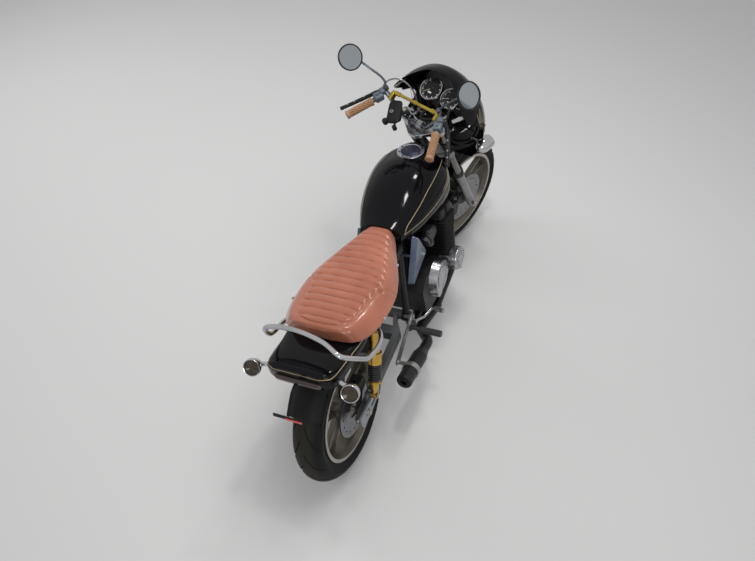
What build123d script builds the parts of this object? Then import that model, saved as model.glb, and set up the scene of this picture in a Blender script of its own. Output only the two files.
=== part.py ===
from build123d import *
import math
import os

# A four-cylinder cafe racer motorcycle of the 1980s, parked on its side stand with the bars turned to the right.
# Millimetres and degrees. X is forward, Y to the rider's left, Z up.
# Chassis pieces are drawn upright, from the point of the floor below the rear axle.
# Fork pieces are drawn along the steering axis: Z up that axis from the floor, X square to it and forward.
# Each wheel is drawn about its own centre with the axle along Y. The last section parks them all.

os.makedirs("parts", exist_ok=True)

# Stance
WHEELBASE = 1460
RAKE = 26
TRAIL = 95
LEAN = 10.5
TURN = 21
FIT = 0.3
PIN_FIT = 0.05

# Wheels and tyres: outer radius, width at the widest, bead radius, half width at the bead
REAR_TYRE_R = 322
REAR_TYRE_W = 130
REAR_BEAD_R = 222
REAR_BEAD_HALF = 46
FRONT_TYRE_R = 316
FRONT_TYRE_W = 100
FRONT_BEAD_R = 240
FRONT_BEAD_HALF = 34
CROWN_SHARE = 0.52
AXLE_R = 10
SPOKE_PAIRS = 5

# Fork
FORK_HALF = 98
SLIDER_R = 25
SLIDER_TOP = FRONT_TYRE_R - 16
FORK_TUBE_R = 18
LOWER_YOKE_Z = 850
LOWER_YOKE_T = 34
TOP_YOKE_Z = 1046
TOP_YOKE_T = 22
HEAD_R = 29
STEM_R = 14

# Frame tubes
TUBE_R = 16
RAIL_R = 13
CRADLE_HALF = 92
CRADLE_Z = 250
PIVOT_HALF = 112
RAIL_HALF = 92
RAIL_OVER_TYRE = 46
RAIL_Z = 2 * REAR_TYRE_R + RAIL_OVER_TYRE

# Swingarm and shocks
PIVOT_X = 500
PIVOT_Z = REAR_TYRE_R + 50
ARM_IN = 94
ARM_OUT = 122
SHOCK_HALF = 152
SHOCK_TOP = (165, RAIL_Z)
SHOCK_LOW = (45, REAR_TYRE_R + 70)
SHOCK_EYE_R = 15
STUD_R = 8

# Engine
CRANK_X = 880
CRANK_Z = 392
CASE_HALF = 165
CYL_LEAN = 12
CYL_HALF = 196
CYL_DEPTH = 138
CYL_BASE_Z = 450
BLOCK_H = 100
HEAD_H = 84
COVER_H = 40
FIN_T = 3
FIN_PITCH = 12

# Bars
BAR_R = 11.1
GRIP_R = 16
GRIP_L = 126
BAR_CLAMP = (18, 1108)

fork_offset = FRONT_TYRE_R * math.sin(math.radians(RAKE)) - TRAIL * math.cos(math.radians(RAKE))
axle_up = FRONT_TYRE_R * math.cos(math.radians(RAKE)) + TRAIL * math.sin(math.radians(RAKE))
HEAD = Location((WHEELBASE + TRAIL, 0, 0), (0, -RAKE, 0))
TURNED = HEAD * Location((0, 0, 0), (0, 0, -TURN))
REAR_HUB = Location((0, 0, REAR_TYRE_R))
FRONT_HUB = TURNED * Location((fork_offset, 0, axle_up))


def lowest(hub, outer_r, width):
    """Height of the lowest point of a round-crowned tyre: its ring's lowest point less the crown radius."""
    crown = width * CROWN_SHARE
    axle = hub.position
    along = (hub * Location((0, 1, 0))).position - axle
    return axle.Z - (outer_r - crown) * math.sqrt(1 - along.Z**2) - crown


# The nose drops or rises a little until both leaning tyres touch the floor together.
pitch = 0.0
for turn in range(6):
    leaning = Location((0, 0, 0), (-LEAN, 0, 0)) * Location((0, 0, 0), (0, pitch, 0))
    front_low = lowest(leaning * FRONT_HUB, FRONT_TYRE_R, FRONT_TYRE_W)
    rear_low = lowest(leaning * REAR_HUB, REAR_TYRE_R, REAR_TYRE_W)
    pitch += math.degrees((front_low - rear_low) / WHEELBASE)
PARKED = Location((0, 0, -rear_low)) * leaning
FORKED = PARKED * TURNED
FLOOR = Plane(PARKED.inverse())


def bent_tube(points, bends, radius):
    """A round tube along straight runs, with an arc of the given radius at each corner."""
    with BuildPart() as bar:
        with BuildLine() as route:
            if len(points) > 2:
                FilletPolyline(*points, radius=bends)
            else:
                Line(*points)
        with BuildSketch(Plane(origin=route.line @ 0, z_dir=route.line % 0)):
            Circle(radius)
        sweep()
    return bar.part


def rod(start, end, radius):
    """A straight round rod between two points."""
    return bent_tube([start, end], 0, radius)


def flip(points):
    """The same points on the other side of the middle plane."""
    return [(x, -y, z) for x, y, z in points]


def tyre(outer_r, width, bead_r, bead_half):
    """A round-crowned tyre about Y: one arc across the crown, straight sidewalls, open to the rim."""
    half = width / 2
    crown = width * CROWN_SHARE
    shoulder_r = outer_r - crown + math.sqrt(crown**2 - half**2)
    with BuildPart() as body:
        with BuildSketch(Plane.XY):
            with BuildLine():
                ThreePointArc((shoulder_r, -half), (outer_r, 0), (shoulder_r, half))
                Polyline(
                    (shoulder_r, half), (bead_r, bead_half), (bead_r, -bead_half), (shoulder_r, -half)
                )
            make_face()
        revolve(axis=Axis.Y)
    return body


def cast_wheel(bead_r, bead_half, hub_r, hub_half):
    """A cast wheel about Y: drop-centre rim with flanges, hub, and pairs of thin flat spokes."""
    seat_r = bead_r - FIT
    edge = bead_half + 9
    with BuildPart() as body:
        with BuildSketch(Plane.XY):
            with BuildLine():
                Polyline(
                    (seat_r, 0),
                    (seat_r, bead_half + 4.5),
                    (bead_r + 11, bead_half + 5.5),
                    (bead_r + 11, edge),
                    (seat_r - 5, edge),
                    (seat_r - 16, bead_half - 14),
                    (seat_r - 16, 0),
                    close=True,
                )
            make_face()
            mirror(about=Plane.XZ)
        revolve(axis=Axis.Y)
        with BuildSketch(Plane.XZ):
            with PolarLocations(0, SPOKE_PAIRS):
                for side in (-1, 1):
                    Polygon(
                        (hub_r - 8, side * 7),
                        (seat_r - 8, side * 30),
                        (seat_r - 8, side * 44),
                        (hub_r - 8, side * 26),
                        align=None,
                    )
        extrude(amount=12, both=True)
        with BuildSketch(Plane.XZ):
            Circle(hub_r)
        extrude(amount=hub_half, both=True)
        with BuildSketch(Plane.XZ):
            Circle(AXLE_R + PIN_FIT)
        extrude(amount=hub_half, both=True, mode=Mode.SUBTRACT)
    return body


# Wheels
REAR_HUB_HALF = 60
FRONT_HUB_HALF = 52
REAR_DISC_R = 125
REAR_DISC_T = 6
FRONT_DISC_R = 138
DISC_T = 5
SPROCKET_R = 88
SPROCKET_Y = 78
SPROCKET_T = 6

rear_tyre = tyre(REAR_TYRE_R, REAR_TYRE_W, REAR_BEAD_R, REAR_BEAD_HALF)
rear_tyre.part.label = "rear_tyre"
front_tyre = tyre(FRONT_TYRE_R, FRONT_TYRE_W, FRONT_BEAD_R, FRONT_BEAD_HALF)
front_tyre.part.label = "front_tyre"
rear_wheel = cast_wheel(REAR_BEAD_R, REAR_BEAD_HALF, 62, REAR_HUB_HALF)
rear_wheel.part.label = "rear_wheel"
front_wheel = cast_wheel(FRONT_BEAD_R, FRONT_BEAD_HALF, 48, FRONT_HUB_HALF)
front_wheel.part.label = "front_wheel"

with BuildPart() as rear_disc:
    with BuildSketch(Plane.XZ.offset(REAR_HUB_HALF)):
        Circle(REAR_DISC_R)
        Circle(40, mode=Mode.SUBTRACT)
        with PolarLocations(100, 16):
            Circle(5, mode=Mode.SUBTRACT)
    extrude(amount=REAR_DISC_T)
rear_disc.part.label = "rear_disc"

with BuildPart() as rear_sprocket:
    with BuildSketch(Plane.XZ.offset(-REAR_HUB_HALF)):
        Circle(46)
        Circle(AXLE_R + PIN_FIT, mode=Mode.SUBTRACT)
    extrude(amount=REAR_HUB_HALF - SPROCKET_Y)
    with BuildSketch(Plane.XZ.offset(-SPROCKET_Y)):
        Circle(SPROCKET_R)
        Circle(AXLE_R + PIN_FIT, mode=Mode.SUBTRACT)
        with PolarLocations(64, 6):
            Circle(11, mode=Mode.SUBTRACT)
    extrude(amount=-SPROCKET_T)
rear_sprocket.part.label = "rear_sprocket"

with BuildPart() as front_discs:
    for side in (-1, 1):
        with BuildSketch(Plane.XZ.offset(side * FRONT_HUB_HALF)):
            Circle(FRONT_DISC_R)
            Circle(40, mode=Mode.SUBTRACT)
            with PolarLocations(112, 18):
                Circle(5, mode=Mode.SUBTRACT)
        extrude(amount=side * DISC_T)
front_discs.part.label = "front_discs"

# Fork, drawn along the steering axis
with BuildPart() as front_axle:
    with Locations((fork_offset, 0, axle_up)):
        Cylinder(AXLE_R, 2 * FORK_HALF + 56, rotation=(90, 0, 0))
        for side in (-1, 1):
            with Locations((0, side * (FORK_HALF + SLIDER_R + 4), 0)):
                Cylinder(AXLE_R + 5, 8, rotation=(90, 0, 0))
front_axle.part.label = "front_axle"

with BuildPart() as fork_sliders:
    for side in (-1, 1):
        leg = (fork_offset, side * FORK_HALF)
        with BuildSketch(Plane.XY.offset(axle_up + 30)):
            with Locations(leg):
                Circle(SLIDER_R)
        extrude(amount=SLIDER_TOP - 30)
        with BuildSketch(Plane.XY.offset(axle_up - 24)):
            with Locations(leg):
                Circle(SLIDER_R - 4)
        extrude(amount=54)
        with BuildSketch(Plane.XY.offset(axle_up + SLIDER_TOP)):
            with Locations(leg):
                Circle(SLIDER_R + 3)
                Circle(FORK_TUBE_R + PIN_FIT, mode=Mode.SUBTRACT)
        extrude(amount=14)
        with BuildSketch(Plane.XY.offset(axle_up + 90)):
            with Locations(leg):
                Circle(FORK_TUBE_R + PIN_FIT)
        extrude(amount=SLIDER_TOP - 90, mode=Mode.SUBTRACT)
    with Locations((fork_offset, 0, axle_up)):
        Cylinder(AXLE_R + PIN_FIT, 2 * FORK_HALF + 60, rotation=(90, 0, 0), mode=Mode.SUBTRACT)
fork_sliders.part.label = "fork_sliders"

with BuildPart() as fork_tubes:
    with BuildSketch(Plane.XY.offset(axle_up + 100)):
        with Locations((fork_offset, FORK_HALF), (fork_offset, -FORK_HALF)):
            Circle(FORK_TUBE_R)
    extrude(amount=TOP_YOKE_Z + TOP_YOKE_T + 14 - axle_up - 100)
fork_tubes.part.label = "fork_tubes"


def yoke(level, thick, lug_r):
    """One triple clamp: two lugs on the fork tubes and one on the stem, joined by tapering webs."""
    with BuildPart() as body:
        with BuildSketch(Plane.XY.offset(level)):
            with BuildLine():
                Polyline(
                    (-HEAD_R, -20),
                    (-HEAD_R, 20),
                    (fork_offset - lug_r + 6, FORK_HALF),
                    (fork_offset + lug_r - 4, FORK_HALF),
                    (fork_offset - 8, 0),
                    (fork_offset + lug_r - 4, -FORK_HALF),
                    (fork_offset - lug_r + 6, -FORK_HALF),
                    close=True,
                )
            make_face()
            with Locations((fork_offset, FORK_HALF), (fork_offset, -FORK_HALF)):
                Circle(lug_r)
            Circle(HEAD_R)
            with Locations((fork_offset, FORK_HALF), (fork_offset, -FORK_HALF)):
                Circle(FORK_TUBE_R + PIN_FIT, mode=Mode.SUBTRACT)
            Circle(STEM_R, mode=Mode.SUBTRACT)
        extrude(amount=thick)
        fillet(body.edges().group_by(Axis.Z)[-1].filter_by(GeomType.LINE), 4)
    return body


with BuildPart() as lower_yoke:
    add(yoke(LOWER_YOKE_Z, LOWER_YOKE_T, 29).part)
    with BuildSketch(Plane.XY.offset(LOWER_YOKE_Z)):
        Circle(STEM_R)
    extrude(amount=TOP_YOKE_Z - LOWER_YOKE_Z)
lower_yoke.part.label = "lower_yoke"

bar_x, bar_z = BAR_CLAMP
with BuildPart() as top_yoke:
    add(yoke(TOP_YOKE_Z, TOP_YOKE_T, 28).part)
    with BuildSketch(Plane.XY.offset(TOP_YOKE_Z)):
        Circle(STEM_R)
    extrude(amount=TOP_YOKE_T + 2)
    with BuildSketch(Plane.XY.offset(TOP_YOKE_Z + TOP_YOKE_T)):
        RegularPolygon(15, 6)
    extrude(amount=9)
    for side in (-1, 1):
        with BuildSketch(Plane.XZ.offset(side * 34)):
            with Locations((bar_x, bar_z)):
                Circle(22)
            with Locations((bar_x, (bar_z + TOP_YOKE_Z + TOP_YOKE_T) / 2)):
                Rectangle(38, bar_z - TOP_YOKE_Z - TOP_YOKE_T)
            with Locations((bar_x, bar_z)):
                Circle(BAR_R + PIN_FIT, mode=Mode.SUBTRACT)
        extrude(amount=12, both=True)
top_yoke.part.label = "top_yoke"

# Handlebar and what it carries, along the steering axis
BAR_KINK = (bar_x, 66, bar_z)
BAR_RISE = (52, 130, 1166)
BAR_END = (-128, 238, 1200)
left_bar = [(bar_x, 0, bar_z), BAR_KINK, BAR_RISE, BAR_END]
handlebar_half = bent_tube(left_bar, [40, 32], BAR_R)
other_half = bent_tube(flip(left_bar), [40, 32], BAR_R)
with BuildPart() as handlebar:
    add(handlebar_half)
    add(other_half)
handlebar.part.label = "handlebar"

reach = Vector(*BAR_END) - Vector(*BAR_RISE)
along = reach.normalized()


def on_bar(back, side=1):
    """Plane across the straight end of the bar, a given distance in from its tip, facing outwards."""
    point = Vector(*BAR_END) - along * back
    return Plane(
        origin=(point.X, side * point.Y, point.Z),
        x_dir=(0, 0, 1),
        z_dir=(along.X, side * along.Y, along.Z),
    )


with BuildPart() as grips:
    for side in (-1, 1):
        with BuildSketch(on_bar(GRIP_L, side)):
            Circle(GRIP_R)
            Circle(BAR_R + PIN_FIT, mode=Mode.SUBTRACT)
        extrude(amount=GRIP_L)
        with BuildSketch(on_bar(0, side)):
            Circle(GRIP_R + 2)
        extrude(amount=8)
grips.part.label = "grips"

BLOCK_L = 44
with BuildPart() as switch_blocks:
    for side in (-1, 1):
        with BuildSketch(on_bar(GRIP_L + BLOCK_L + 1, side)):
            RectangleRounded(46, 38, 9)
            Circle(BAR_R + PIN_FIT, mode=Mode.SUBTRACT)
        extrude(amount=BLOCK_L)
switch_blocks.part.label = "switch_blocks"

# Fairing, headlamp and instruments, drawn upright like the chassis
SCREEN = (
    # x, half width, half height, centre height
    (1402, 97, 97, 872),
    (1310, 172, 190, 912),
    (1210, 202, 252, 962),
    (1140, 208, 276, 978),
)
SKIN = 4
# Side view of the rear rim: visor over the clocks, notch for the bars, wings beside the lamp
RIM = [
    (1216, 1300),
    (1208, 1200),
    (1152, 1078),
    (1226, 1052),
    (1258, 960),
    (1214, 868),
    (1240, 770),
    (1330, 676),
    (1330, 600),
    (1100, 600),
    (1100, 1300),
]
# Room for the fork legs between the wings: from x, to x, up to z
FORK_NOTCH = (1100, 1335, 850)


def bubble(inset):
    """Solid inside the fairing's outer skin, or that much further in."""
    with BuildPart() as body:
        for x, half_w, half_h, z in SCREEN:
            with BuildSketch(Plane.YZ.offset(x)):
                with Locations((0, z)):
                    Ellipse(half_w - inset, half_h - inset)
        loft()
    return body.part


FAIRING_REACH = 260
outer_bubble = bubble(0)
inner_bubble = bubble(SKIN)
with BuildPart() as fairing:
    add(outer_bubble)
    add(inner_bubble, mode=Mode.SUBTRACT)
    with BuildSketch(Plane.XZ):
        with Locations((FORK_NOTCH[0] / 2 + FORK_NOTCH[1] / 2, FORK_NOTCH[2] - 200)):
            Rectangle(FORK_NOTCH[1] - FORK_NOTCH[0], 400)
    extrude(amount=FORK_HALF + SLIDER_R + 10, both=True, mode=Mode.SUBTRACT)
    with BuildSketch(Plane.XZ):
        Polygon(*RIM, align=None)
    extrude(amount=FAIRING_REACH, both=True, mode=Mode.SUBTRACT)
fairing.part.label = "fairing"

LAMP_R = 86
LAMP_Z = 872
LAMP_X = 1400
LAMP_DOME = 14
dome_r = (LAMP_R**2 + LAMP_DOME**2) / (2 * LAMP_DOME)
dome_mid = LAMP_X - dome_r + math.sqrt(dome_r**2 - (LAMP_R / 2) ** 2)
with BuildPart() as headlamp:
    with BuildSketch(Plane.XZ):
        with BuildLine():
            Polyline((LAMP_X, LAMP_Z), (LAMP_X - 110, LAMP_Z), (LAMP_X - 96, LAMP_Z + 56))
            Line((LAMP_X - 96, LAMP_Z + 56), (LAMP_X - 40, LAMP_Z + LAMP_R))
            Line((LAMP_X - 40, LAMP_Z + LAMP_R), (LAMP_X - LAMP_DOME, LAMP_Z + LAMP_R))
            ThreePointArc(
                (LAMP_X - LAMP_DOME, LAMP_Z + LAMP_R), (dome_mid, LAMP_Z + LAMP_R / 2), (LAMP_X, LAMP_Z)
            )
        make_face()
    revolve(axis=Axis((LAMP_X, 0, LAMP_Z), (1, 0, 0)))
headlamp.part.label = "headlamp"


def side_plate(points, near, far):
    """A flat plate in side view between two distances from the middle plane."""
    with BuildPart() as body:
        with BuildSketch(Plane.XZ.offset(-near)):
            Polygon(*points, align=None)
        extrude(amount=near - far)
    return body.part


def puck(centre, near, far, radius):
    """A round boss along Y between two distances from the middle plane."""
    with BuildPart() as body:
        with BuildSketch(Plane.XZ.offset(-near)):
            with Locations(centre):
                Circle(radius)
        extrude(amount=near - far)
    return body.part


def upright(x, y, z):
    """Fork coordinates of a point given upright."""
    point = (HEAD.inverse() * Location((x, y, z))).position
    return (point.X, point.Y, point.Z)


lamp_x, lamp_y, lamp_z = upright(LAMP_X - 55, 0, LAMP_Z)
EAR_IN = LAMP_R + FIT
EAR_Z = 908
with BuildPart() as lamp_ears:
    for side in (-1, 1):
        add(
            side_plate(
                [
                    (fork_offset, EAR_Z),
                    (lamp_x + 14, lamp_z - 16),
                    (lamp_x + 14, lamp_z + 16),
                    (fork_offset, EAR_Z + 52),
                ],
                side * EAR_IN,
                side * (EAR_IN + 4),
            )
        )
        with BuildSketch(Plane.XY.offset(EAR_Z)):
            with Locations((fork_offset, side * FORK_HALF)):
                Circle(FORK_TUBE_R + 5)
        extrude(amount=52)
        with BuildSketch(Plane.XY.offset(LOWER_YOKE_Z)):
            with Locations((fork_offset, side * FORK_HALF)):
                Circle(FORK_TUBE_R + PIN_FIT)
        extrude(amount=TOP_YOKE_Z - LOWER_YOKE_Z, mode=Mode.SUBTRACT)
        stay = rod((lamp_x, side * (EAR_IN + 2), lamp_z), (lamp_x, side * 190, lamp_z), 5)
        add(stay & inner_bubble.moved(HEAD.inverse()))
lamp_ears.part.label = "lamp_ears"


def bullet(centre, radius, back, front):
    """Lamp body turned about X: flat face at the back end, straight barrel, round nose at the front end."""
    x, y, z = centre
    nose = front - back
    with BuildPart() as body:
        with BuildSketch(Plane(origin=centre, x_dir=(1, 0, 0), z_dir=(0, -1, 0))):
            with BuildLine():
                Polyline((front, 0), (back, 0), (back, radius), (back + nose * 0.4, radius))
                ThreePointArc(
                    (back + nose * 0.4, radius), (back + nose * 0.85, radius * 0.62), (front, 0)
                )
            make_face()
        revolve(axis=Axis(centre, (1, 0, 0)))
    return body.part


INDICATOR = (1352, 212, 826)
INDICATOR_R = 34
with BuildPart() as front_indicators:
    lens_x, lens_y, lens_z = INDICATOR
    for side in (-1, 1):
        add(bullet((lens_x, side * lens_y, lens_z), INDICATOR_R, 30, -58))
        add(rod((lens_x, side * 130, lens_z), (lens_x, side * (lens_y - 20), lens_z), 8) - outer_bubble)
front_indicators.part.label = "front_indicators"

CLOCK_R = 47
CLOCK_L = 62
CLOCK_TILT = 35
with BuildPart() as instruments:
    for side in (-1, 1):
        face = Plane(Location((1222, side * 50, 1092), (0, -CLOCK_TILT, 0)))
        with BuildSketch(face):
            Circle(CLOCK_R)
            Circle(CLOCK_R - 4, mode=Mode.SUBTRACT)
        extrude(amount=8)
        with BuildSketch(face):
            Circle(CLOCK_R)
        extrude(amount=-CLOCK_L, taper=12)
    bracket = side_plate(
        [
            (fork_offset - 10, TOP_YOKE_Z + TOP_YOKE_T),
            (fork_offset + 100, TOP_YOKE_Z + TOP_YOKE_T),
            (fork_offset + 100, TOP_YOKE_Z + TOP_YOKE_T + 6),
            (fork_offset - 10, TOP_YOKE_Z + TOP_YOKE_T + 6),
        ],
        -45,
        45,
    )
    add(bracket.moved(HEAD))
instruments.part.label = "instruments"

# Mirrors, levers, brace bar and phone holder, along the steering axis
MIRROR_R = 50
MIRRORS = (
    # side, centre, tilt about Y, stem corner
    (1, (48, 334, 1326), -36, (0, 205, 1246)),
    (-1, (116, -264, 1364), -38, (18, -200, 1246)),
)
block = on_bar(GRIP_L + BLOCK_L / 2).origin
with BuildPart() as mirrors:
    for side, centre, tilt, corner in MIRRORS:
        face = Plane(Location(centre, (0, tilt, 0)))
        with BuildSketch(face):
            Circle(MIRROR_R)
        extrude(amount=-16, taper=25)
        root = (block.X, side * block.Y, block.Z + 22)
        add(bent_tube([root, corner, (centre[0] + 10, centre[1], centre[2] - 8)], 12, 4))
        add(rod((block.X, side * block.Y, block.Z + 23.4), (block.X, side * block.Y, block.Z + 36), 9))
    add(switch_blocks.part, mode=Mode.SUBTRACT)
mirrors.part.label = "mirrors"


def by_bar(side, back, ahead, rise):
    """Point beside the straight end of the bar: in from its tip, out in front of it, and above it."""
    point = Vector(*BAR_END) - along * back + Vector(-along.Y, along.X, 0).normalized() * -ahead
    return (point.X, side * point.Y, point.Z + rise)


LEVER_R = 6
LEVER_GAP = 44
with BuildPart() as control_levers:
    for side in (-1, 1):
        blade = [
            by_bar(side, GRIP_L + BLOCK_L - 14, 19 + FIT, 0),
            by_bar(side, GRIP_L + BLOCK_L - 24, LEVER_GAP, 0),
            by_bar(side, 0, LEVER_GAP - 4, 4),
        ]
        add(bent_tube(blade, 16, LEVER_R))
    add(switch_blocks.part, mode=Mode.SUBTRACT)
control_levers.part.label = "control_levers"

BRACE_R = 7
BRACE_UP = 0.62
kink = Vector(*BAR_KINK)
rise = Vector(*BAR_RISE)
brace_end = kink + (rise - kink) * BRACE_UP
BRACE_LIFT = 28
with BuildPart() as brace_bar:
    bar_level = brace_end.Z + BRACE_LIFT
    add(rod((brace_end.X, brace_end.Y, bar_level), (brace_end.X, -brace_end.Y, bar_level), BRACE_R))
    for side in (-1, 1):
        with BuildSketch(Plane.XZ.offset(-side * (brace_end.Y - 24))):
            with Locations((brace_end.X, bar_level)):
                RegularPolygon(BRACE_R + 4, 6)
        extrude(amount=-side * 16)
        foot = (brace_end.X, side * brace_end.Y, brace_end.Z)
        add(rod(foot, (foot[0], foot[1], bar_level + BRACE_R + 3), BRACE_R + 3))
    add(handlebar.part, mode=Mode.SUBTRACT)
brace_bar.part.label = "brace_bar"

# Phone holder: a hub with four short claws on an arm from a clamp round the left half of the bar
HOLDER = (-26, 84, 1204)
HOLDER_ARM = 36
CLAMP_AT = 0.62
clamp_mid = kink + (rise - kink) * CLAMP_AT
clamp_way = (rise - kink).normalized()
clamp_face = Plane(origin=tuple(clamp_mid - clamp_way * 9), z_dir=tuple(clamp_way))
holder_face = Plane(Location(HOLDER, (0, -12, 25)))
with BuildPart() as phone_holder:
    with BuildSketch(clamp_face):
        Circle(BAR_R + 6)
    extrude(amount=18)
    add(rod(tuple(clamp_mid), (HOLDER[0] + 6, HOLDER[1] + 4, HOLDER[2] + 2), 6))
    with BuildSketch(holder_face):
        Circle(17)
    extrude(amount=14)
    with BuildSketch(holder_face.offset(2)):
        Rectangle(2 * HOLDER_ARM, 11)
        Rectangle(11, 2 * HOLDER_ARM)
    extrude(amount=8)
    with BuildSketch(holder_face):
        with PolarLocations(HOLDER_ARM, 4):
            Circle(8)
    extrude(amount=22)
    for piece in (handlebar, brace_bar, switch_blocks, control_levers):
        add(piece.part, mode=Mode.SUBTRACT)
phone_holder.part.label = "phone_holder"

# Lines from the lever perches, over the bar and down in front of the yokes to the lower yoke
HOSE_R = 3.5
HOSE_SHARE = 0.45
LEFT_HOSE = [
    (8, 178, 1178),
    (66, 190, 1200),
    (106, 150, 1208),
    (122, 98, 1194),
    (118, 62, 1146),
    (108, 58, 1076),
    (106, 64, 1004),
    (94, 58, 934),
    (66, 60, LOWER_YOKE_Z + LOWER_YOKE_T - 1),
]


def hose(points):
    """A thin line along straight runs, with each arc as large as its two runs allow; also the radii used."""
    runs = [Vector(*end) - Vector(*start) for start, end in zip(points, points[1:])]
    radii = []
    for before, after in zip(runs, runs[1:]):
        half_turn = math.radians(before.get_angle(after)) / 2
        radii.append(HOSE_SHARE * min(before.length, after.length) / math.tan(half_turn))
    return bent_tube(points, radii, HOSE_R), radii


with BuildPart() as brake_hose:
    for side, route in ((1, LEFT_HOSE), (-1, flip(LEFT_HOSE))):
        line, hose_radii = hose(route)
        add(line)
    for piece in (switch_blocks, control_levers, lower_yoke):
        add(piece.part, mode=Mode.SUBTRACT)
brake_hose.part.label = "brake_hose"
print("hose radii", *(round(value, 1) for value in hose_radii))

# Chassis
head_low = LOWER_YOKE_Z + LOWER_YOKE_T + 6
head_high = TOP_YOKE_Z - 6


def on_head(level):
    """Upright point on the steering axis at a height along it."""
    return (HEAD * Location((0, 0, level))).position


SPINE_R = 22
SPINE_END = (700, 0, RAIL_Z + 2)
SPINE_GAP = 12
BUSH_R = 14
spine_root = on_head(head_high - 78)
bush = Vector(*SPINE_END) * 0.3 + Vector(spine_root.X, 0, spine_root.Z) * 0.7
bush_reach = Vector(0, SPINE_R + SPINE_GAP - FIT, 0)
with BuildPart() as frame_spine:
    with BuildSketch(Plane(HEAD).offset(head_low)):
        Circle(HEAD_R)
    extrude(amount=head_high - head_low)
    add(rod((spine_root.X, 0, spine_root.Z), SPINE_END, SPINE_R))
    add(rod(tuple(bush - bush_reach), tuple(bush + bush_reach), BUSH_R))
    with BuildSketch(Plane(HEAD).offset(head_low)):
        Circle(STEM_R + PIN_FIT)
    extrude(amount=head_high - head_low, mode=Mode.SUBTRACT)
frame_spine.part.label = "frame_spine"
head_solid = rod(tuple(on_head(head_low)), tuple(on_head(head_high)), HEAD_R)

neck = on_head(head_low + 34)
left_cradle = [
    (neck.X - 4, TUBE_R + 1, neck.Z),
    (1078, CRADLE_HALF, 690),
    (985, CRADLE_HALF, CRADLE_Z),
    (PIVOT_X + 30, PIVOT_HALF, CRADLE_Z),
    (PIVOT_X, PIVOT_HALF, PIVOT_Z),
    (PIVOT_X + 16, PIVOT_HALF, 560),
    (PIVOT_X + 64, RAIL_HALF + 3, RAIL_Z - 4),
]
LUG_R = 26
cradles = {}
for side, name in ((1, "left"), (-1, "right")):
    route = left_cradle if side == 1 else flip(left_cradle)
    with BuildPart() as cradle:
        add(bent_tube(route, [60, 60, 60, 60, 60], TUBE_R))
        add(puck((PIVOT_X, PIVOT_Z), side * (PIVOT_HALF - TUBE_R), side * (PIVOT_HALF + TUBE_R), LUG_R))
        add(head_solid, mode=Mode.SUBTRACT)
    cradle.part.label = "frame_cradle_" + name
    cradles[name] = cradle

RAIL_BACK_X = -135
RAIL_BACK_Z = RAIL_Z + 4
rail = [
    (SPINE_END[0] + 8, 34, SPINE_END[2]),
    (585, RAIL_HALF, RAIL_Z + 2),
    (200, RAIL_HALF, RAIL_Z),
    (RAIL_BACK_X, 78, RAIL_BACK_Z),
]
CROSS_R = 10
GUARD_BAR_X = 60
CROSS_X = 430
with BuildPart() as seat_frame:
    add(bent_tube(rail + flip(rail)[::-1], [60, 60, 40, 40, 60, 60], RAIL_R))
    for side in (-1, 1):
        add(puck(SHOCK_TOP, side * RAIL_HALF, side * (SHOCK_HALF + 14), STUD_R))
    for x in (CROSS_X, GUARD_BAR_X):
        add(rod((x, RAIL_HALF, RAIL_Z), (x, -RAIL_HALF, RAIL_Z), CROSS_R))
    for name in cradles:
        add(cradles[name].part, mode=Mode.SUBTRACT)
    add(frame_spine.part, mode=Mode.SUBTRACT)
seat_frame.part.label = "seat_frame"

# Swingarm: two box arms that flare outwards from the pivot, drawn in plan and cut to side view
ARM_H = 46
with BuildPart() as swingarm:
    for side in (-1, 1):
        with BuildSketch(Plane.XY.offset(REAR_TYRE_R - 72)):
            Polygon(
                (PIVOT_X, side * 48),
                (PIVOT_X, side * 74),
                (PIVOT_X - 22, side * 74),
                (PIVOT_X - 100, side * ARM_OUT),
                (-52, side * ARM_OUT),
                (-52, side * ARM_IN),
                (PIVOT_X - 118, side * ARM_IN),
                align=None,
            )
        extrude(amount=200)
    with BuildSketch(Plane.XY.offset(REAR_TYRE_R - 72)):
        with Locations((PIVOT_X - 104, 0)):
            Rectangle(44, 2 * ARM_IN + 10)
    extrude(amount=200)
    with BuildSketch(Plane.XZ):
        Polygon(
            (PIVOT_X + 10, PIVOT_Z - ARM_H / 2),
            (PIVOT_X + 10, PIVOT_Z + ARM_H / 2),
            (0, REAR_TYRE_R + ARM_H / 2),
            (-52, REAR_TYRE_R + ARM_H / 2 - 8),
            (-52, REAR_TYRE_R - ARM_H / 2),
            (0, REAR_TYRE_R - ARM_H / 2),
            align=None,
        )
    extrude(amount=ARM_OUT + 10, both=True, mode=Mode.INTERSECT)
    for side in (-1, 1):
        shock_lug = [
            (SHOCK_LOW[0] - 28, REAR_TYRE_R + 10),
            (SHOCK_LOW[0] + 40, REAR_TYRE_R + 10),
            (SHOCK_LOW[0] + 14, SHOCK_LOW[1] + 10),
            (SHOCK_LOW[0] - 14, SHOCK_LOW[1] + 10),
        ]
        add(side_plate(shock_lug, side * (ARM_OUT - 10), side * ARM_OUT))
        add(puck(SHOCK_LOW, side * (ARM_OUT - 10), side * (SHOCK_HALF + 14), STUD_R))
    add(puck((PIVOT_X, PIVOT_Z), PIVOT_HALF - TUBE_R - FIT, -PIVOT_HALF + TUBE_R + FIT, 22))
    with BuildSketch(Plane.XZ.offset(-ARM_OUT - 10)):
        with Locations((0, REAR_TYRE_R)):
            SlotOverall(56, 2 * AXLE_R + 2 * PIN_FIT)
    extrude(amount=2 * ARM_OUT + 20, mode=Mode.SUBTRACT)
swingarm.part.label = "swingarm"

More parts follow.
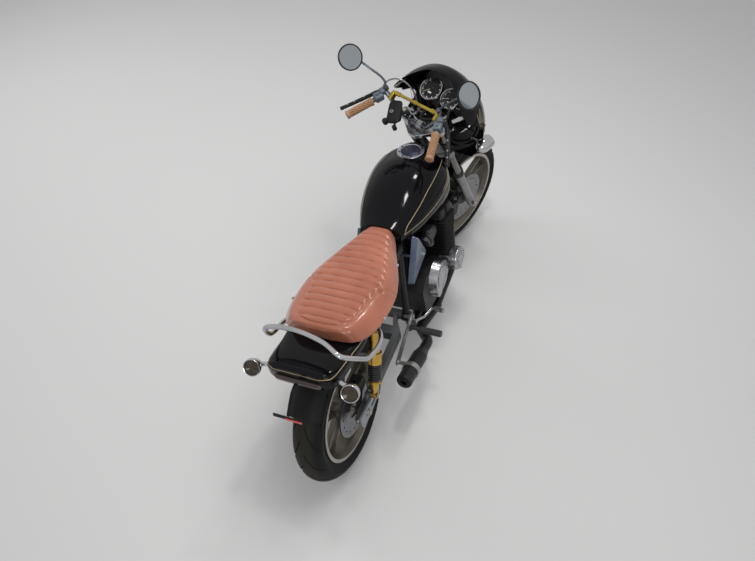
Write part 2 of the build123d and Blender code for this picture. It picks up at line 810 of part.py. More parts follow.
with BuildPart() as rear_axle:
    add(puck((0, REAR_TYRE_R), ARM_OUT + 22, -ARM_OUT - 22, AXLE_R))
    for side in (-1, 1):
        add(puck((0, REAR_TYRE_R), side * (ARM_OUT + FIT), side * (ARM_OUT + 12), AXLE_R + 8))
        add(puck((0, REAR_TYRE_R), side * (REAR_HUB_HALF + 30), side * (ARM_IN - FIT), AXLE_R + 6))
rear_axle.part.label = "rear_axle"

shock_run = Vector(SHOCK_TOP[0] - SHOCK_LOW[0], 0, SHOCK_TOP[1] - SHOCK_LOW[1])
shock_length = shock_run.length
SHOCK_STEPS = (
    # from the lower eye upwards: distance, radius
    (10, 11),
    (34, 17),
    (62, 26),
    (72, 23),
    (150, 23),
    (154, 28),
    (196, 28),
    (204, 22),
    (262, 22),
    (266, 26),
    (288, 26),
    (300, 14),
)
with BuildPart() as rear_shocks:
    for side in (-1, 1):
        base = Plane(
            origin=(SHOCK_LOW[0], side * SHOCK_HALF, SHOCK_LOW[1]), x_dir=(0, 1, 0), z_dir=tuple(shock_run)
        )
        for (start, radius), above in zip(SHOCK_STEPS, SHOCK_STEPS[1:]):
            with BuildSketch(base.offset(start)):
                Circle(radius)
            extrude(amount=above[0] - start)
        with BuildSketch(base.offset(SHOCK_STEPS[-1][0])):
            Circle(SHOCK_STEPS[-1][1])
        extrude(amount=shock_length - SHOCK_STEPS[-1][0])
        for eye in (SHOCK_LOW, SHOCK_TOP):
            add(puck(eye, side * (SHOCK_HALF - 12), side * (SHOCK_HALF + 12), SHOCK_EYE_R))
    for side in (-1, 1):
        for eye in (SHOCK_LOW, SHOCK_TOP):
            add(
                puck(eye, side * (SHOCK_HALF - 30), side * (SHOCK_HALF + 30), STUD_R + PIN_FIT),
                mode=Mode.SUBTRACT,
            )
rear_shocks.part.label = "rear_shocks"

# Engine
CASE_SIDE = [
    (600, 300),
    (640, 275),
    (960, 275),
    (984, 330),
    (972, 420),
    (950, CYL_BASE_Z - 8),
    (790, CYL_BASE_Z + 16),
    (640, 480),
    (590, 440),
]
with BuildPart() as engine_cases:
    with BuildSketch(Plane.XZ):
        Polygon(*CASE_SIDE, align=None)
    extrude(amount=CASE_HALF, both=True)
    with BuildSketch(Plane.XY.offset(276)):
        with Locations((800, 0)):
            RectangleRounded(280, 2 * (CRADLE_HALF - TUBE_R - 6), 20)
    extrude(amount=-64, taper=8)
    for name in cradles:
        add(cradles[name].part, mode=Mode.SUBTRACT)
engine_cases.part.label = "engine_cases"

CYLINDERS = Plane(Location((CRANK_X, 0, CYL_BASE_Z), (0, CYL_LEAN, 0)))


def finned(start, height, width, depth):
    """A cooling block: a core with flat fins round it, one every FIN_PITCH."""
    with BuildPart() as body:
        with BuildSketch(CYLINDERS.offset(start)):
            RectangleRounded(depth - 44, width - 44, 12)
        extrude(amount=height)
        for step in range(int(height // FIN_PITCH)):
            with BuildSketch(CYLINDERS.offset(start + step * FIN_PITCH)):
                RectangleRounded(depth, width, 16)
            extrude(amount=FIN_T)
    return body


BASE_T = 6
with BuildPart() as cylinder_block:
    add(finned(BASE_T, BLOCK_H, 2 * CYL_HALF, CYL_DEPTH).part)
    with BuildSketch(CYLINDERS.offset(BASE_T)):
        Rectangle(CYL_DEPTH - 50, 2 * CASE_HALF - 40)
    extrude(amount=-40)
    add(engine_cases.part, mode=Mode.SUBTRACT)
cylinder_block.part.label = "cylinder_block"

with BuildPart() as cylinder_head:
    add(finned(BASE_T + BLOCK_H, HEAD_H, 2 * CYL_HALF, CYL_DEPTH + 14).part)
    with BuildSketch(CYLINDERS.offset(BASE_T + BLOCK_H + HEAD_H)):
        for shift in (-38, 38):
            with Locations((shift, 0)):
                RectangleRounded(62, 2 * CYL_HALF - 30, 12)
        Rectangle(60, 2 * CYL_HALF - 60)
    extrude(amount=COVER_H, taper=8)
cylinder_head.part.label = "cylinder_head"

CLUTCH = (745, 408)
CLUTCH_R = 84
with BuildPart() as clutch_cover:
    with BuildSketch(Plane.XZ.offset(CASE_HALF)):
        with Locations(CLUTCH):
            Circle(CLUTCH_R)
        with Locations((CLUTCH[0] - 40, CLUTCH[1] - 54)):
            Circle(40)
    extrude(amount=36, taper=12)
clutch_cover.part.label = "clutch_cover"

CAP_R = 57
with BuildPart() as ignition_cover:
    with BuildSketch(Plane.XZ.offset(CASE_HALF)):
        with Locations((CRANK_X + 14, CRANK_Z)):
            Circle(CAP_R)
    extrude(amount=76)
    fillet(ignition_cover.faces().sort_by(Axis.Y)[0].edges(), 14)
    add(clutch_cover.part, mode=Mode.SUBTRACT)
ignition_cover.part.label = "ignition_cover"

with BuildPart() as left_covers:
    with BuildSketch(Plane.XZ.offset(-CASE_HALF)):
        with Locations((CRANK_X, CRANK_Z)):
            Circle(CAP_R)
    extrude(amount=-70)
    fillet(left_covers.faces().sort_by(Axis.Y)[-1].edges(), 12)
    with BuildSketch(Plane.XZ.offset(-CASE_HALF)):
        with Locations((665, 390)):
            RectangleRounded(150, 150, 40)
    extrude(amount=-28, taper=10)
left_covers.part.label = "left_covers"

PORT_Y = (-135, -45, 45, 135)
CARB_Z = 610
CARB_X = (756, 826)
with BuildPart() as carburettors:
    for y in PORT_Y:
        add(rod((CARB_X[0], y, CARB_Z), (CARB_X[1], y, CARB_Z), 30))
        add(rod((CARB_X[0] - 20, y, CARB_Z - 4), (CARB_X[0], y, CARB_Z), 26))
        add(rod((CARB_X[1] - 1, y, CARB_Z), (862, y, CARB_Z + 4), 22))
        add(rod((790, y, CARB_Z - 50), (790, y, CARB_Z + 48), 24))
    add(rod((790, -160, CARB_Z + 20), (790, 160, CARB_Z + 20), 6))
    add(cylinder_head.part, mode=Mode.SUBTRACT)
    add(cylinder_block.part, mode=Mode.SUBTRACT)
carburettors.part.label = "carburettors"

AIRBOX_HALF = CRADLE_HALF - TUBE_R - 6
with BuildPart() as airbox:
    with BuildSketch(Plane.XY.offset(482)):
        with Locations((632, 0)):
            RectangleRounded(120, 2 * AIRBOX_HALF, 14)
    extrude(amount=220)
    for piece in (engine_cases, carburettors, frame_spine, seat_frame):
        add(piece.part, mode=Mode.SUBTRACT)
airbox.part.label = "airbox"

# Exhaust: four header pipes into a collector under the engine, then one pipe to a short silencer on the right
PIPE_R = 18
PIPE_Z = 185
COLLECTOR_X = 760
COLLECTOR_Y = (-150, -110, -70, -30)
TAIL_START = (600, -118, 190)
TAIL_TURN = (510, -196, 210)
MUFFLER_FRONT = (430, -200, 232)
MUFFLER_BACK = (206, -202, 285)
PORT = (968, 596)
with BuildPart() as exhaust_headers:
    for y, end_y in zip(PORT_Y, COLLECTOR_Y):
        run = [
            (PORT[0], y, PORT[1]),
            (PORT[0] + 96, y, PORT[1] + 10),
            (PORT[0] + 78, y, PIPE_Z),
            (COLLECTOR_X - 4, end_y, PIPE_Z),
        ]
        add(bent_tube(run, [52, 60], PIPE_R))
    with BuildSketch(Plane.YZ.offset(COLLECTOR_X)):
        with Locations((-90, PIPE_Z)):
            RectangleRounded(164, 42, 18)
    with BuildSketch(Plane.YZ.offset(TAIL_START[0])):
        with Locations((TAIL_START[1], TAIL_START[2])):
            RectangleRounded(56, 52, 24)
    loft()
    start_x, start_y, start_z = TAIL_START
    tail = [(start_x + 8, start_y, start_z), (start_x - 10, start_y - 4, start_z), TAIL_TURN, MUFFLER_FRONT]
    add(bent_tube(tail, [30, 60], 24))
    add(cylinder_head.part, mode=Mode.SUBTRACT)
exhaust_headers.part.label = "exhaust_headers"

MUFFLER_R = 35
muffler_run = Vector(*MUFFLER_BACK) - Vector(*MUFFLER_FRONT)
muffler_length = muffler_run.length
muffler_axis = Plane(origin=MUFFLER_FRONT, x_dir=(0, 1, 0), z_dir=tuple(muffler_run))
with BuildPart() as muffler:
    with BuildSketch(muffler_axis):
        Circle(26)
    with BuildSketch(muffler_axis.offset(40)):
        Circle(MUFFLER_R)
    loft()
    with BuildSketch(muffler_axis.offset(40)):
        Circle(MUFFLER_R)
    extrude(amount=muffler_length - 40)
    fillet(muffler.faces().sort_by(Axis.X)[0].edges(), 8)
    with BuildSketch(muffler_axis.offset(muffler_length - 70)):
        Circle(15)
    extrude(amount=80, mode=Mode.SUBTRACT)
    add(exhaust_headers.part, mode=Mode.SUBTRACT)
muffler.part.label = "muffler"

# Tank, seat and bodywork
TANK = (
    # x, half width and height of the widest line, of the underside and of the shoulder, then height of the top
    (1084, 64, 812, 50, 758, 42, 858, 872),
    (1016, 130, 800, 108, 716, 86, 874, 897),
    (930, 166, 788, 146, 700, 112, 876, 904),
    (790, 158, 776, 136, 704, 104, 848, 880),
    (612, 102, 756, 86, 716, 62, 788, 806),
)
with BuildPart() as fuel_tank:
    for x, half, wide_z, low_half, low_z, top_half, top_z, crown_z in TANK:
        with BuildSketch(Plane.YZ.offset(x)):
            with BuildLine():
                Line((-low_half, low_z), (low_half, low_z))
                ThreePointArc((low_half, low_z), (half, wide_z), (top_half, top_z))
                ThreePointArc((top_half, top_z), (0, crown_z), (-top_half, top_z))
                ThreePointArc((-top_half, top_z), (-half, wide_z), (-low_half, low_z))
            make_face()
    loft()
    spine_run = (Vector(spine_root.X, 0, spine_root.Z) - Vector(*SPINE_END)).normalized()
    front_end = Vector(spine_root.X, 0, spine_root.Z) + spine_run * 60
    back_end = Vector(*SPINE_END) - spine_run * 90
    add(rod(tuple(front_end), tuple(back_end), SPINE_R + SPINE_GAP), mode=Mode.SUBTRACT)
    with BuildSketch(Plane.XZ):
        Polygon(
            (front_end.X, front_end.Z),
            (back_end.X, back_end.Z),
            (back_end.X, RAIL_Z - 90),
            (front_end.X, RAIL_Z - 90),
            align=None,
        )
    extrude(amount=SPINE_R + SPINE_GAP, both=True, mode=Mode.SUBTRACT)
    pocket = Vector(0, SPINE_R + SPINE_GAP, 0)
    add(rod(tuple(bush - pocket), tuple(bush + pocket), BUSH_R + FIT), mode=Mode.SUBTRACT)
fuel_tank.part.label = "fuel_tank"

CAP_RING_R = 54
cap_face = Plane(Location((1004, 0, 889), (0, 7, 0)))
with BuildPart() as filler_cap:
    with BuildSketch(cap_face):
        Circle(CAP_RING_R)
    extrude(amount=14)
    with BuildSketch(cap_face.offset(9)):
        Circle(CAP_RING_R - 18)
    extrude(amount=6, mode=Mode.SUBTRACT)
    add(fuel_tank.part, mode=Mode.SUBTRACT)
filler_cap.part.label = "filler_cap"

COWL = (
    # x, half width, underside and top above the rails, corner
    (470, 100, 26, 36, 4),
    (180, 132, 24, 42, 8),
    (-20, 142, 6, 62, 24),
    (-120, 134, 18, 80, 26),
    (-178, 106, 34, 90, 24),
)
COWL_T = 4
COWL_HOLLOW = (
    # x, half width, underside and top above the rails, corner
    (168, 132, -90, 42, 8),
    (-20, 142, -90, 62, 24),
    (-120, 134, -90, 80, 26),
    (-174, 108, -90, 90, 24),
)
COWL_FEET_X = (230, 400)


def cowl_form(sections, inset):
    """Form lofted through rounded rectangles, or the same with its sides and top that much further in."""
    with BuildPart() as body:
        for x, half, low, top, corner in sections:
            with BuildSketch(Plane.YZ.offset(x)):
                with Locations((0, RAIL_Z + (low + top - inset) / 2)):
                    RectangleRounded(2 * (half - inset), top - low - inset, corner - inset / 2)
        loft()
    return body.part


# The flat front of the cowl is straight, and only its tail is rounded and hollow.
cowl_front = cowl_form(COWL[:2], 0)
cowl_tail = cowl_form(COWL[1:], 0)
with BuildPart() as tail_cowl:
    add(cowl_tail)
    add(cowl_form(COWL_HOLLOW, COWL_T), mode=Mode.SUBTRACT)
    add(cowl_front)
    for x in COWL_FEET_X:
        for side in (-1, 1):
            foot_top = (x, side * RAIL_HALF, RAIL_Z + COWL[0][2] + 6)
            add(rod(foot_top, (x, side * RAIL_HALF, RAIL_Z + RAIL_R - 4), RAIL_R - 3))
    add(seat_frame.part, mode=Mode.SUBTRACT)
tail_cowl.part.label = "tail_cowl"

SEAT = (
    # x, half width, then above the rails: underside, height of the side, top
    (646, 50, 52, 74, 94),
    (590, 90, 44, 78, 106),
    (450, 142, 38, 78, 110),
    (330, 174, 38, 80, 114),
    (150, 178, 44, 88, 122),
    (50, 156, 56, 98, 130),
    (6, 112, 62, 102, 124),
)
with BuildPart() as seat:
    for x, half, low, edge, crown in SEAT:
        low_z, side_z, top_z = RAIL_Z + low, RAIL_Z + edge, RAIL_Z + crown
        with BuildSketch(Plane.YZ.offset(x)):
            with BuildLine():
                Line((-half, low_z), (half, low_z))
                ThreePointArc((half, low_z), (half + 4, (low_z + side_z) / 2), (half * 0.86, side_z))
                ThreePointArc((half * 0.86, side_z), (0, top_z), (-half * 0.86, side_z))
                ThreePointArc((-half * 0.86, side_z), (-half - 4, (low_z + side_z) / 2), (-half, low_z))
            make_face()
    loft()
    add(fuel_tank.part, mode=Mode.SUBTRACT)
    add(cowl_tail, mode=Mode.SUBTRACT)
    add(cowl_front, mode=Mode.SUBTRACT)
seat.part.label = "seat"

with BuildPart() as tail_lamp:
    with BuildSketch(Plane.YZ.offset(COWL[-1][0])):
        with Locations((0, RAIL_Z + (COWL[-1][2] + COWL[-1][3]) / 2)):
            RectangleRounded(2 * COWL[-1][1] - 36, COWL[-1][3] - COWL[-1][2] - 14, 12)
    extrude(amount=-20, taper=15)
    add(tail_cowl.part, mode=Mode.SUBTRACT)
tail_lamp.part.label = "tail_lamp"

# The grab rail is knocked askew: its right corner sits further back and lower than the left one
RAIL_LOOP = [
    # x, y, height above the rails
    (SHOCK_TOP[0], 172, 2),
    (-14, 222, 96),
    (-34, 140, 110),
    (-38, 10, 112),
    (-66, -76, 108),
    (-96, -142, 100),
    (-38, -208, 80),
    (SHOCK_TOP[0], -172, 2),
]
RAIL_BENDS = [30, 40, 200, 120, 30, 36]
with BuildPart() as grab_rail:
    add(bent_tube([(x, y, RAIL_Z + rise) for x, y, rise in RAIL_LOOP], RAIL_BENDS, 10))
    add(seat_frame.part, mode=Mode.SUBTRACT)
    add(rear_shocks.part, mode=Mode.SUBTRACT)
grab_rail.part.label = "grab_rail"

LENS = (-172, 206, RAIL_Z + 20)
LENS_STEM_R = 8
with BuildPart() as rear_indicators:
    lens_x, lens_y, lens_z = LENS
    stem_x = RAIL_BACK_X - LENS_STEM_R
    for side in (-1, 1):
        add(bullet((lens_x, side * lens_y, lens_z), INDICATOR_R, -20, 44))
        add(rod((stem_x, side * 30, lens_z), (stem_x, side * (lens_y - 20), lens_z), LENS_STEM_R))
    for piece in (seat_frame, tail_cowl):
        add(piece.part, mode=Mode.SUBTRACT)
rear_indicators.part.label = "rear_indicators"

GUARD_GAP = 14
GUARD_END = (420, REAR_TYRE_R + 238)
with BuildPart() as rear_mudguard:
    with BuildSketch(Plane.XZ):
        with Locations((0, REAR_TYRE_R)):
            Circle(REAR_TYRE_R + GUARD_GAP + 4)
            Circle(REAR_TYRE_R + GUARD_GAP, mode=Mode.SUBTRACT)
        Polygon(
            (0, REAR_TYRE_R),
            (-GUARD_END[0], GUARD_END[1]),
            (-GUARD_END[0], -100),
            (700, -100),
            (700, GUARD_END[1]),
            GUARD_END,
            align=None,
            mode=Mode.SUBTRACT,
        )
    extrude(amount=70, both=True)
    guard_top = REAR_TYRE_R + math.sqrt((REAR_TYRE_R + GUARD_GAP) ** 2 - GUARD_BAR_X**2) + 2
    for side in (-1, 1):
        add(rod((GUARD_BAR_X, side * 40, guard_top), (GUARD_BAR_X, side * 40, RAIL_Z), CROSS_R - 1))
    add(tail_cowl.part, mode=Mode.SUBTRACT)
    add(seat_frame.part, mode=Mode.SUBTRACT)
    add(airbox.part, mode=Mode.SUBTRACT)
rear_mudguard.part.label = "rear_mudguard"

PLATE_BAR = (-298, REAR_TYRE_R + 322)
with BuildPart() as plate_bracket:
    add(
        side_plate(
            [
                (RAIL_BACK_X, RAIL_BACK_Z - RAIL_R + 2),
                (RAIL_BACK_X, RAIL_BACK_Z - RAIL_R - 8),
                (PLATE_BAR[0] + 6, PLATE_BAR[1] - 4),
                (PLATE_BAR[0], PLATE_BAR[1] - 10),
                (PLATE_BAR[0] - 4, PLATE_BAR[1]),
            ],
            -12,
            12,
        )
    )
    with BuildSketch(Plane.YZ.offset(PLATE_BAR[0] + 4)):
        with Locations((0, PLATE_BAR[1] - 2)):
            Rectangle(110, 16)
    extrude(amount=-6)
    for piece in (rear_mudguard, seat_frame, tail_cowl):
        add(piece.part, mode=Mode.SUBTRACT)
plate_bracket.part.label = "plate_bracket"

COVER_IN = 118
COVER = [(668, 722), (740, 566), (540, 506)]
with BuildPart() as side_covers:
    for side in (-1, 1):
        with BuildSketch(Plane.XZ.offset(-side * COVER_IN)) as outline:
            Polygon(*COVER, align=None)
            fillet(outline.vertices(), 12)
        extrude(amount=-side * 26, taper=14)
        with BuildSketch(Plane.XZ.offset(-side * COVER_IN)) as hollow:
            Polygon(*COVER, align=None)
            fillet(hollow.vertices(), 12)
            offset(amount=-4, mode=Mode.REPLACE)
        extrude(amount=-side * 22, taper=14, mode=Mode.SUBTRACT)
        add(puck((640, 610), side * (AIRBOX_HALF + FIT), side * (COVER_IN + 24), 7))
side_covers.part.label = "side_covers"

# Chain, brakes and foot controls
CHAIN_T = 13
FRONT_SPROCKET = (600, 372, 36)
CHAIN_HALF_W = 9
chain_mid = SPROCKET_Y + SPROCKET_T / 2


def chain_loop(grow):
    """Side view of the chain's run round both sprockets, grown outwards."""
    run = math.dist((0, REAR_TYRE_R), FRONT_SPROCKET[:2])
    tilt = math.atan2(FRONT_SPROCKET[1] - REAR_TYRE_R, FRONT_SPROCKET[0])
    big = SPROCKET_R + 1 + grow
    small = FRONT_SPROCKET[2] + grow
    splay = math.asin((big - small) / run)
    points = []
    for way in (1, -1):
        angle = tilt + way * (math.pi / 2 - splay)
        for (x, z), radius in (((0, REAR_TYRE_R), big), (FRONT_SPROCKET[:2], small)):
            points.append((x + radius * math.cos(angle), z + radius * math.sin(angle)))
    return points[0], points[1], points[3], points[2], big, small, tilt


def chain_face(grow):
    top_back, top_front, low_front, low_back, big, small, tilt = chain_loop(grow)
    with BuildSketch() as face:
        with BuildLine():
            Line(top_back, top_front)
            ThreePointArc(
                top_front,
                (
                    FRONT_SPROCKET[0] + small * math.cos(tilt),
                    FRONT_SPROCKET[1] + small * math.sin(tilt),
                ),
                low_front,
            )
            Line(low_front, low_back)
            ThreePointArc(low_back, (-big * math.cos(tilt), REAR_TYRE_R - big * math.sin(tilt)), top_back)
        make_face()
    return face.sketch


with BuildPart() as drive_chain:
    with BuildSketch(Plane.XZ.offset(-chain_mid - CHAIN_HALF_W)):
        add(chain_face(CHAIN_T))
        add(chain_face(0), mode=Mode.SUBTRACT)
    extrude(amount=2 * CHAIN_HALF_W)
    add(engine_cases.part, mode=Mode.SUBTRACT)
drive_chain.part.label = "drive_chain"

CALIPER = (58, REAR_TYRE_R + 90)
with BuildPart() as rear_caliper:
    with BuildSketch(Plane.XZ.offset(42)):
        with Locations(CALIPER):
            RectangleRounded(72, 56, 14)
    extrude(amount=48)
    with BuildSketch(Plane.XZ.offset(REAR_HUB_HALF - 5)):
        with Locations((0, REAR_TYRE_R)):
            Circle(REAR_DISC_R + 5)
    extrude(amount=REAR_DISC_T + 10, mode=Mode.SUBTRACT)
    caliper_arm = [
        (CALIPER[0] - 18, CALIPER[1]),
        (CALIPER[0] + 18, CALIPER[1]),
        (22, REAR_TYRE_R),
        (-22, REAR_TYRE_R),
    ]
    add(side_plate(caliper_arm, -REAR_HUB_HALF - 20, -REAR_HUB_HALF - 30))
    add(puck((0, REAR_TYRE_R), -REAR_HUB_HALF - 20, -ARM_IN + FIT, 24))
    add(puck((0, REAR_TYRE_R), -REAR_HUB_HALF - 10, -ARM_IN - 1, AXLE_R + 6 + FIT), mode=Mode.SUBTRACT)
rear_caliper.part.label = "rear_caliper"

FRONT_CALIPER_TURN = 148
FRONT_CALIPER_OUT = 124
caliper_x = fork_offset + FRONT_CALIPER_OUT * math.cos(math.radians(FRONT_CALIPER_TURN))
caliper_z = axle_up + FRONT_CALIPER_OUT * math.sin(math.radians(FRONT_CALIPER_TURN))
with BuildPart() as front_calipers:
    for side in (-1, 1):
        with BuildSketch(Plane.XZ.offset(-side * 38)):
            with Locations(Location((caliper_x, caliper_z), FRONT_CALIPER_TURN)):
                RectangleRounded(64, 88, 14)
        extrude(amount=-side * 48)
        with BuildSketch(Plane.XZ.offset(-side * (FRONT_HUB_HALF - 5))):
            with Locations((fork_offset, axle_up)):
                Circle(FRONT_DISC_R + 5)
        extrude(amount=-side * (DISC_T + 10), mode=Mode.SUBTRACT)
        add(
            side_plate(
                [
                    (fork_offset - 60, axle_up + 50),
                    (fork_offset - 14, axle_up + 40),
                    (fork_offset - 14, axle_up + 110),
                    (fork_offset - 60, axle_up + 104),
                ],
                side * 74,
                side * 84,
            )
        )
    add(fork_sliders.part, mode=Mode.SUBTRACT)
    add(fork_tubes.part, mode=Mode.SUBTRACT)
front_calipers.part.label = "front_calipers"

PEG = (PIVOT_X - 22, PIVOT_Z - 50)
with BuildPart() as footpegs:
    for side in (-1, 1):
        hanger = [
            (PIVOT_X + 20, PIVOT_Z),
            (PIVOT_X - 20, PIVOT_Z),
            (PEG[0] - 18, PEG[1]),
            (PEG[0] + 18, PEG[1]),
        ]
        add(side_plate(hanger, side * 132, side * 138))
        add(puck((PIVOT_X, PIVOT_Z), side * (PIVOT_HALF + TUBE_R), side * 138, 18))
        add(puck(PEG, side * 132, side * 190, 9))
        add(puck(PEG, side * 180, side * 282, 14))
        add(puck(PEG, side * 130, side * 138, 18))
footpegs.part.label = "footpegs"

BRAKE_PIVOT = (PEG[0] + 22, PEG[1] + 28)
BRAKE_PAD = (PEG[0] + 128, -206, PEG[1] + 12)
SHIFT_PIVOT = (630, 342)
SHIFT_PAD = (670, 330)
with BuildPart() as foot_controls:
    add(puck(BRAKE_PIVOT, -138, -160, 9))
    pedal = [
        (BRAKE_PIVOT[0], -152, BRAKE_PIVOT[1]),
        (BRAKE_PIVOT[0] + 58, -170, BRAKE_PIVOT[1] - 30),
        (BRAKE_PAD[0] + 10, BRAKE_PAD[1] + 14, BRAKE_PAD[2] - 4),
        BRAKE_PAD,
    ]
    add(bent_tube(pedal, [24, 8], 7))
    add(rod(BRAKE_PAD, (BRAKE_PAD[0] - 8, BRAKE_PAD[1] - 44, BRAKE_PAD[2] + 4), 11))
    add(puck(SHIFT_PIVOT, CASE_HALF + 28, CASE_HALF + 54, 9))
    lever = [
        (SHIFT_PIVOT[0], CASE_HALF + 46, SHIFT_PIVOT[1]),
        (SHIFT_PAD[0] - 2, CASE_HALF + 48, SHIFT_PAD[1]),
        (SHIFT_PAD[0], CASE_HALF + 72, SHIFT_PAD[1]),
    ]
    add(bent_tube(lever, [8], 7))
    add(puck(SHIFT_PAD, CASE_HALF + 70, CASE_HALF + 110, 11))
foot_controls.part.label = "foot_controls"

HANGER_AT = 0.62
clamp_point = Vector(*MUFFLER_FRONT) + muffler_run * HANGER_AT
with BuildPart() as muffler_hanger:
    with BuildSketch(muffler_axis.offset(muffler_length * HANGER_AT - 13)):
        Circle(MUFFLER_R + 5)
        Circle(MUFFLER_R, mode=Mode.SUBTRACT)
    extrude(amount=26)
    hanger = [
        (clamp_point.X - 16, clamp_point.Z + 30),
        (clamp_point.X + 16, clamp_point.Z + 22),
        (PIVOT_X - 14, PIVOT_Z + 8),
        (PIVOT_X - 14, PIVOT_Z + 34),
        (clamp_point.X - 16, clamp_point.Z + 52),
    ]
    add(side_plate(hanger, -140, -146))
    add(rod((clamp_point.X, -143, clamp_point.Z + 36), (clamp_point.X, -180, clamp_point.Z + 36), 9))
    add(puck((PIVOT_X - 20, PIVOT_Z + 20), -PIVOT_HALF, -146, 8))
    add(muffler.part, mode=Mode.SUBTRACT)
    add(cradles["right"].part, mode=Mode.SUBTRACT)
muffler_hanger.part.label = "muffler_hanger"

FRONT_GUARD_GAP = 10
FRONT_GUARD_HALF = 58
# All that lies below the two ends of the guard, from the axle
BELOW_GUARD = [(0, 0), (300, 520), (500, 520), (500, -500), (-500, -500), (-500, 289)]
with BuildPart() as front_mudguard:
    hub_at = Plane(origin=(fork_offset, 0, axle_up), x_dir=(1, 0, 0), z_dir=(0, -1, 0))
    with BuildSketch(hub_at):
        Circle(FRONT_TYRE_R + FRONT_GUARD_GAP + 4)
        Circle(FRONT_TYRE_R + FRONT_GUARD_GAP, mode=Mode.SUBTRACT)
        Polygon(*BELOW_GUARD, align=None, mode=Mode.SUBTRACT)
    extrude(amount=FRONT_GUARD_HALF, both=True)
    stay_top = FRONT_TYRE_R + FRONT_GUARD_GAP
    for side in (-1, 1):
        with BuildSketch(hub_at.offset(-side * FRONT_GUARD_HALF)):
            Polygon(
                (-30, stay_top - 76), (30, stay_top - 76), (50, stay_top), (-50, stay_top), align=None
            )
        extrude(amount=-side * (FORK_HALF - SLIDER_R - FRONT_GUARD_HALF + 8))
    add(fork_sliders.part, mode=Mode.SUBTRACT)
    add(fork_tubes.part, mode=Mode.SUBTRACT)
    with BuildSketch(hub_at):
        Circle(FRONT_TYRE_R + FRONT_GUARD_GAP)
        Circle(60, mode=Mode.SUBTRACT)
    extrude(amount=FRONT_GUARD_HALF - 2, both=True, mode=Mode.SUBTRACT)
front_mudguard.part.label = "front_mudguard"

# Side stand: pivot beside the left rail, foot flat on the floor
STAND_PIVOT = Vector(590, 156, 226)
STAND_FOOT = (650, 292)
STAND_R = 10
foot_probe = (PARKED * Location((STAND_FOOT[0], STAND_FOOT[1], 0))).position
stand_foot = (PARKED.inverse() * Location((foot_probe.X, foot_probe.Y, 0))).position
stand_down = (stand_foot - STAND_PIVOT).normalized()
stand_back = Vector(-0.985, 0.15, 0.06).normalized()
stand_axis = stand_down.cross(stand_back).normalized()
STAND_SWING = stand_down.get_angle(stand_back)
PIN_R = 7
stand_pin_a = STAND_PIVOT - stand_axis * 18
stand_pin_b = STAND_PIVOT + stand_axis * 18
BOSS_R = 15
with BuildPart() as left_with_bracket:
    add(rod(tuple(stand_pin_a - stand_axis * 4), (STAND_PIVOT.X, CRADLE_HALF + 8, CRADLE_Z), 9))
    room = rod(tuple(stand_pin_a - stand_axis * FIT), tuple(stand_pin_b + stand_axis * 8), BOSS_R + 6)
    add(room, mode=Mode.SUBTRACT)
    add(rod(tuple(stand_pin_a - stand_axis * 8), tuple(stand_pin_a - stand_axis * FIT), 14))
    add(rod(tuple(stand_pin_a - stand_axis * 6), tuple(stand_pin_b + stand_axis * 6), PIN_R))
    add(rod(tuple(stand_pin_b + stand_axis * FIT), tuple(stand_pin_b + stand_axis * 6), 10))
    add(cradles["left"].part)
left_with_bracket.part.label = "frame_cradle_left"
cradles["left"] = left_with_bracket

FOOT_T = 6
with BuildPart() as side_stand:
    add(rod(tuple(stand_pin_a), tuple(stand_pin_b), BOSS_R))
    add(rod(tuple(STAND_PIVOT + stand_down * 8), tuple(stand_foot + stand_down * 20), STAND_R))
    floor_box = Plane(PARKED.inverse() * Location((foot_probe.X, foot_probe.Y, 0)))
    with BuildSketch(floor_box):
        Rectangle(300, 300)
    extrude(amount=-80, mode=Mode.SUBTRACT)
    with BuildSketch(floor_box):
        RectangleRounded(64, 44, 12)
    extrude(amount=FOOT_T)
    pin_hole = rod(tuple(stand_pin_a - stand_axis * 5), tuple(stand_pin_b + stand_axis * 5), PIN_R + PIN_FIT)
    add(pin_hole, mode=Mode.SUBTRACT)
side_stand.part.label = "side_stand"

ON_BARS = FORKED * HEAD.inverse()
frame = [frame_spine, *cradles.values(), seat_frame, swingarm, rear_axle, rear_shocks]
engine = [engine_cases, cylinder_block, cylinder_head, clutch_cover, ignition_cover, left_covers]
gases = [carburettors, airbox, exhaust_headers, muffler, muffler_hanger]
bodywork = [fuel_tank, filler_cap, seat, tail_cowl, tail_lamp, grab_rail, rear_indicators, rear_mudguard]
fittings = [plate_bracket, side_covers, drive_chain, rear_caliper, footpegs, foot_controls]
fork = [front_axle, fork_sliders, fork_tubes, lower_yoke, top_yoke, front_calipers, front_mudguard, lamp_ears]
bars = [handlebar, grips, switch_blocks, control_levers, mirrors, brace_bar, phone_holder, brake_hose]
upright_on_bars = [fairing, headlamp, front_indicators, instruments]
rear_turning = [rear_tyre, rear_wheel, rear_disc, rear_sprocket]
front_turning = [front_tyre, front_wheel, front_discs]
stances = (
    # pieces, place
    ([*frame, *engine, *gases, *bodywork, *fittings, side_stand], PARKED),
    ([*fork, *bars], FORKED),
    (upright_on_bars, ON_BARS),
    (rear_turning, PARKED * REAR_HUB),
    (front_turning, PARKED * FRONT_HUB),
)
placed = [piece.part.moved(stance) for pieces, stance in stances for piece in pieces]
whole = Compound(children=placed).bounding_box()
CENTRED = Location((-whole.center().X, -whole.center().Y, 0))
for pieces, stance in stances:
    for piece in pieces:
        export_step(piece.part.moved(CENTRED * stance), f"parts/{piece.part.label}.step")


def told(name, stance, point, direction):
    """Print a joint or mount: its point in metres and its direction, both in the parked model's frame."""
    place = CENTRED * stance
    start = (place * Location(tuple(point))).position
    way = (place * Location(tuple(Vector(*point) + Vector(*direction)))).position - start
    print(name, *(round(value / 1000, 6) for value in start), *(round(value, 7) for value in way))


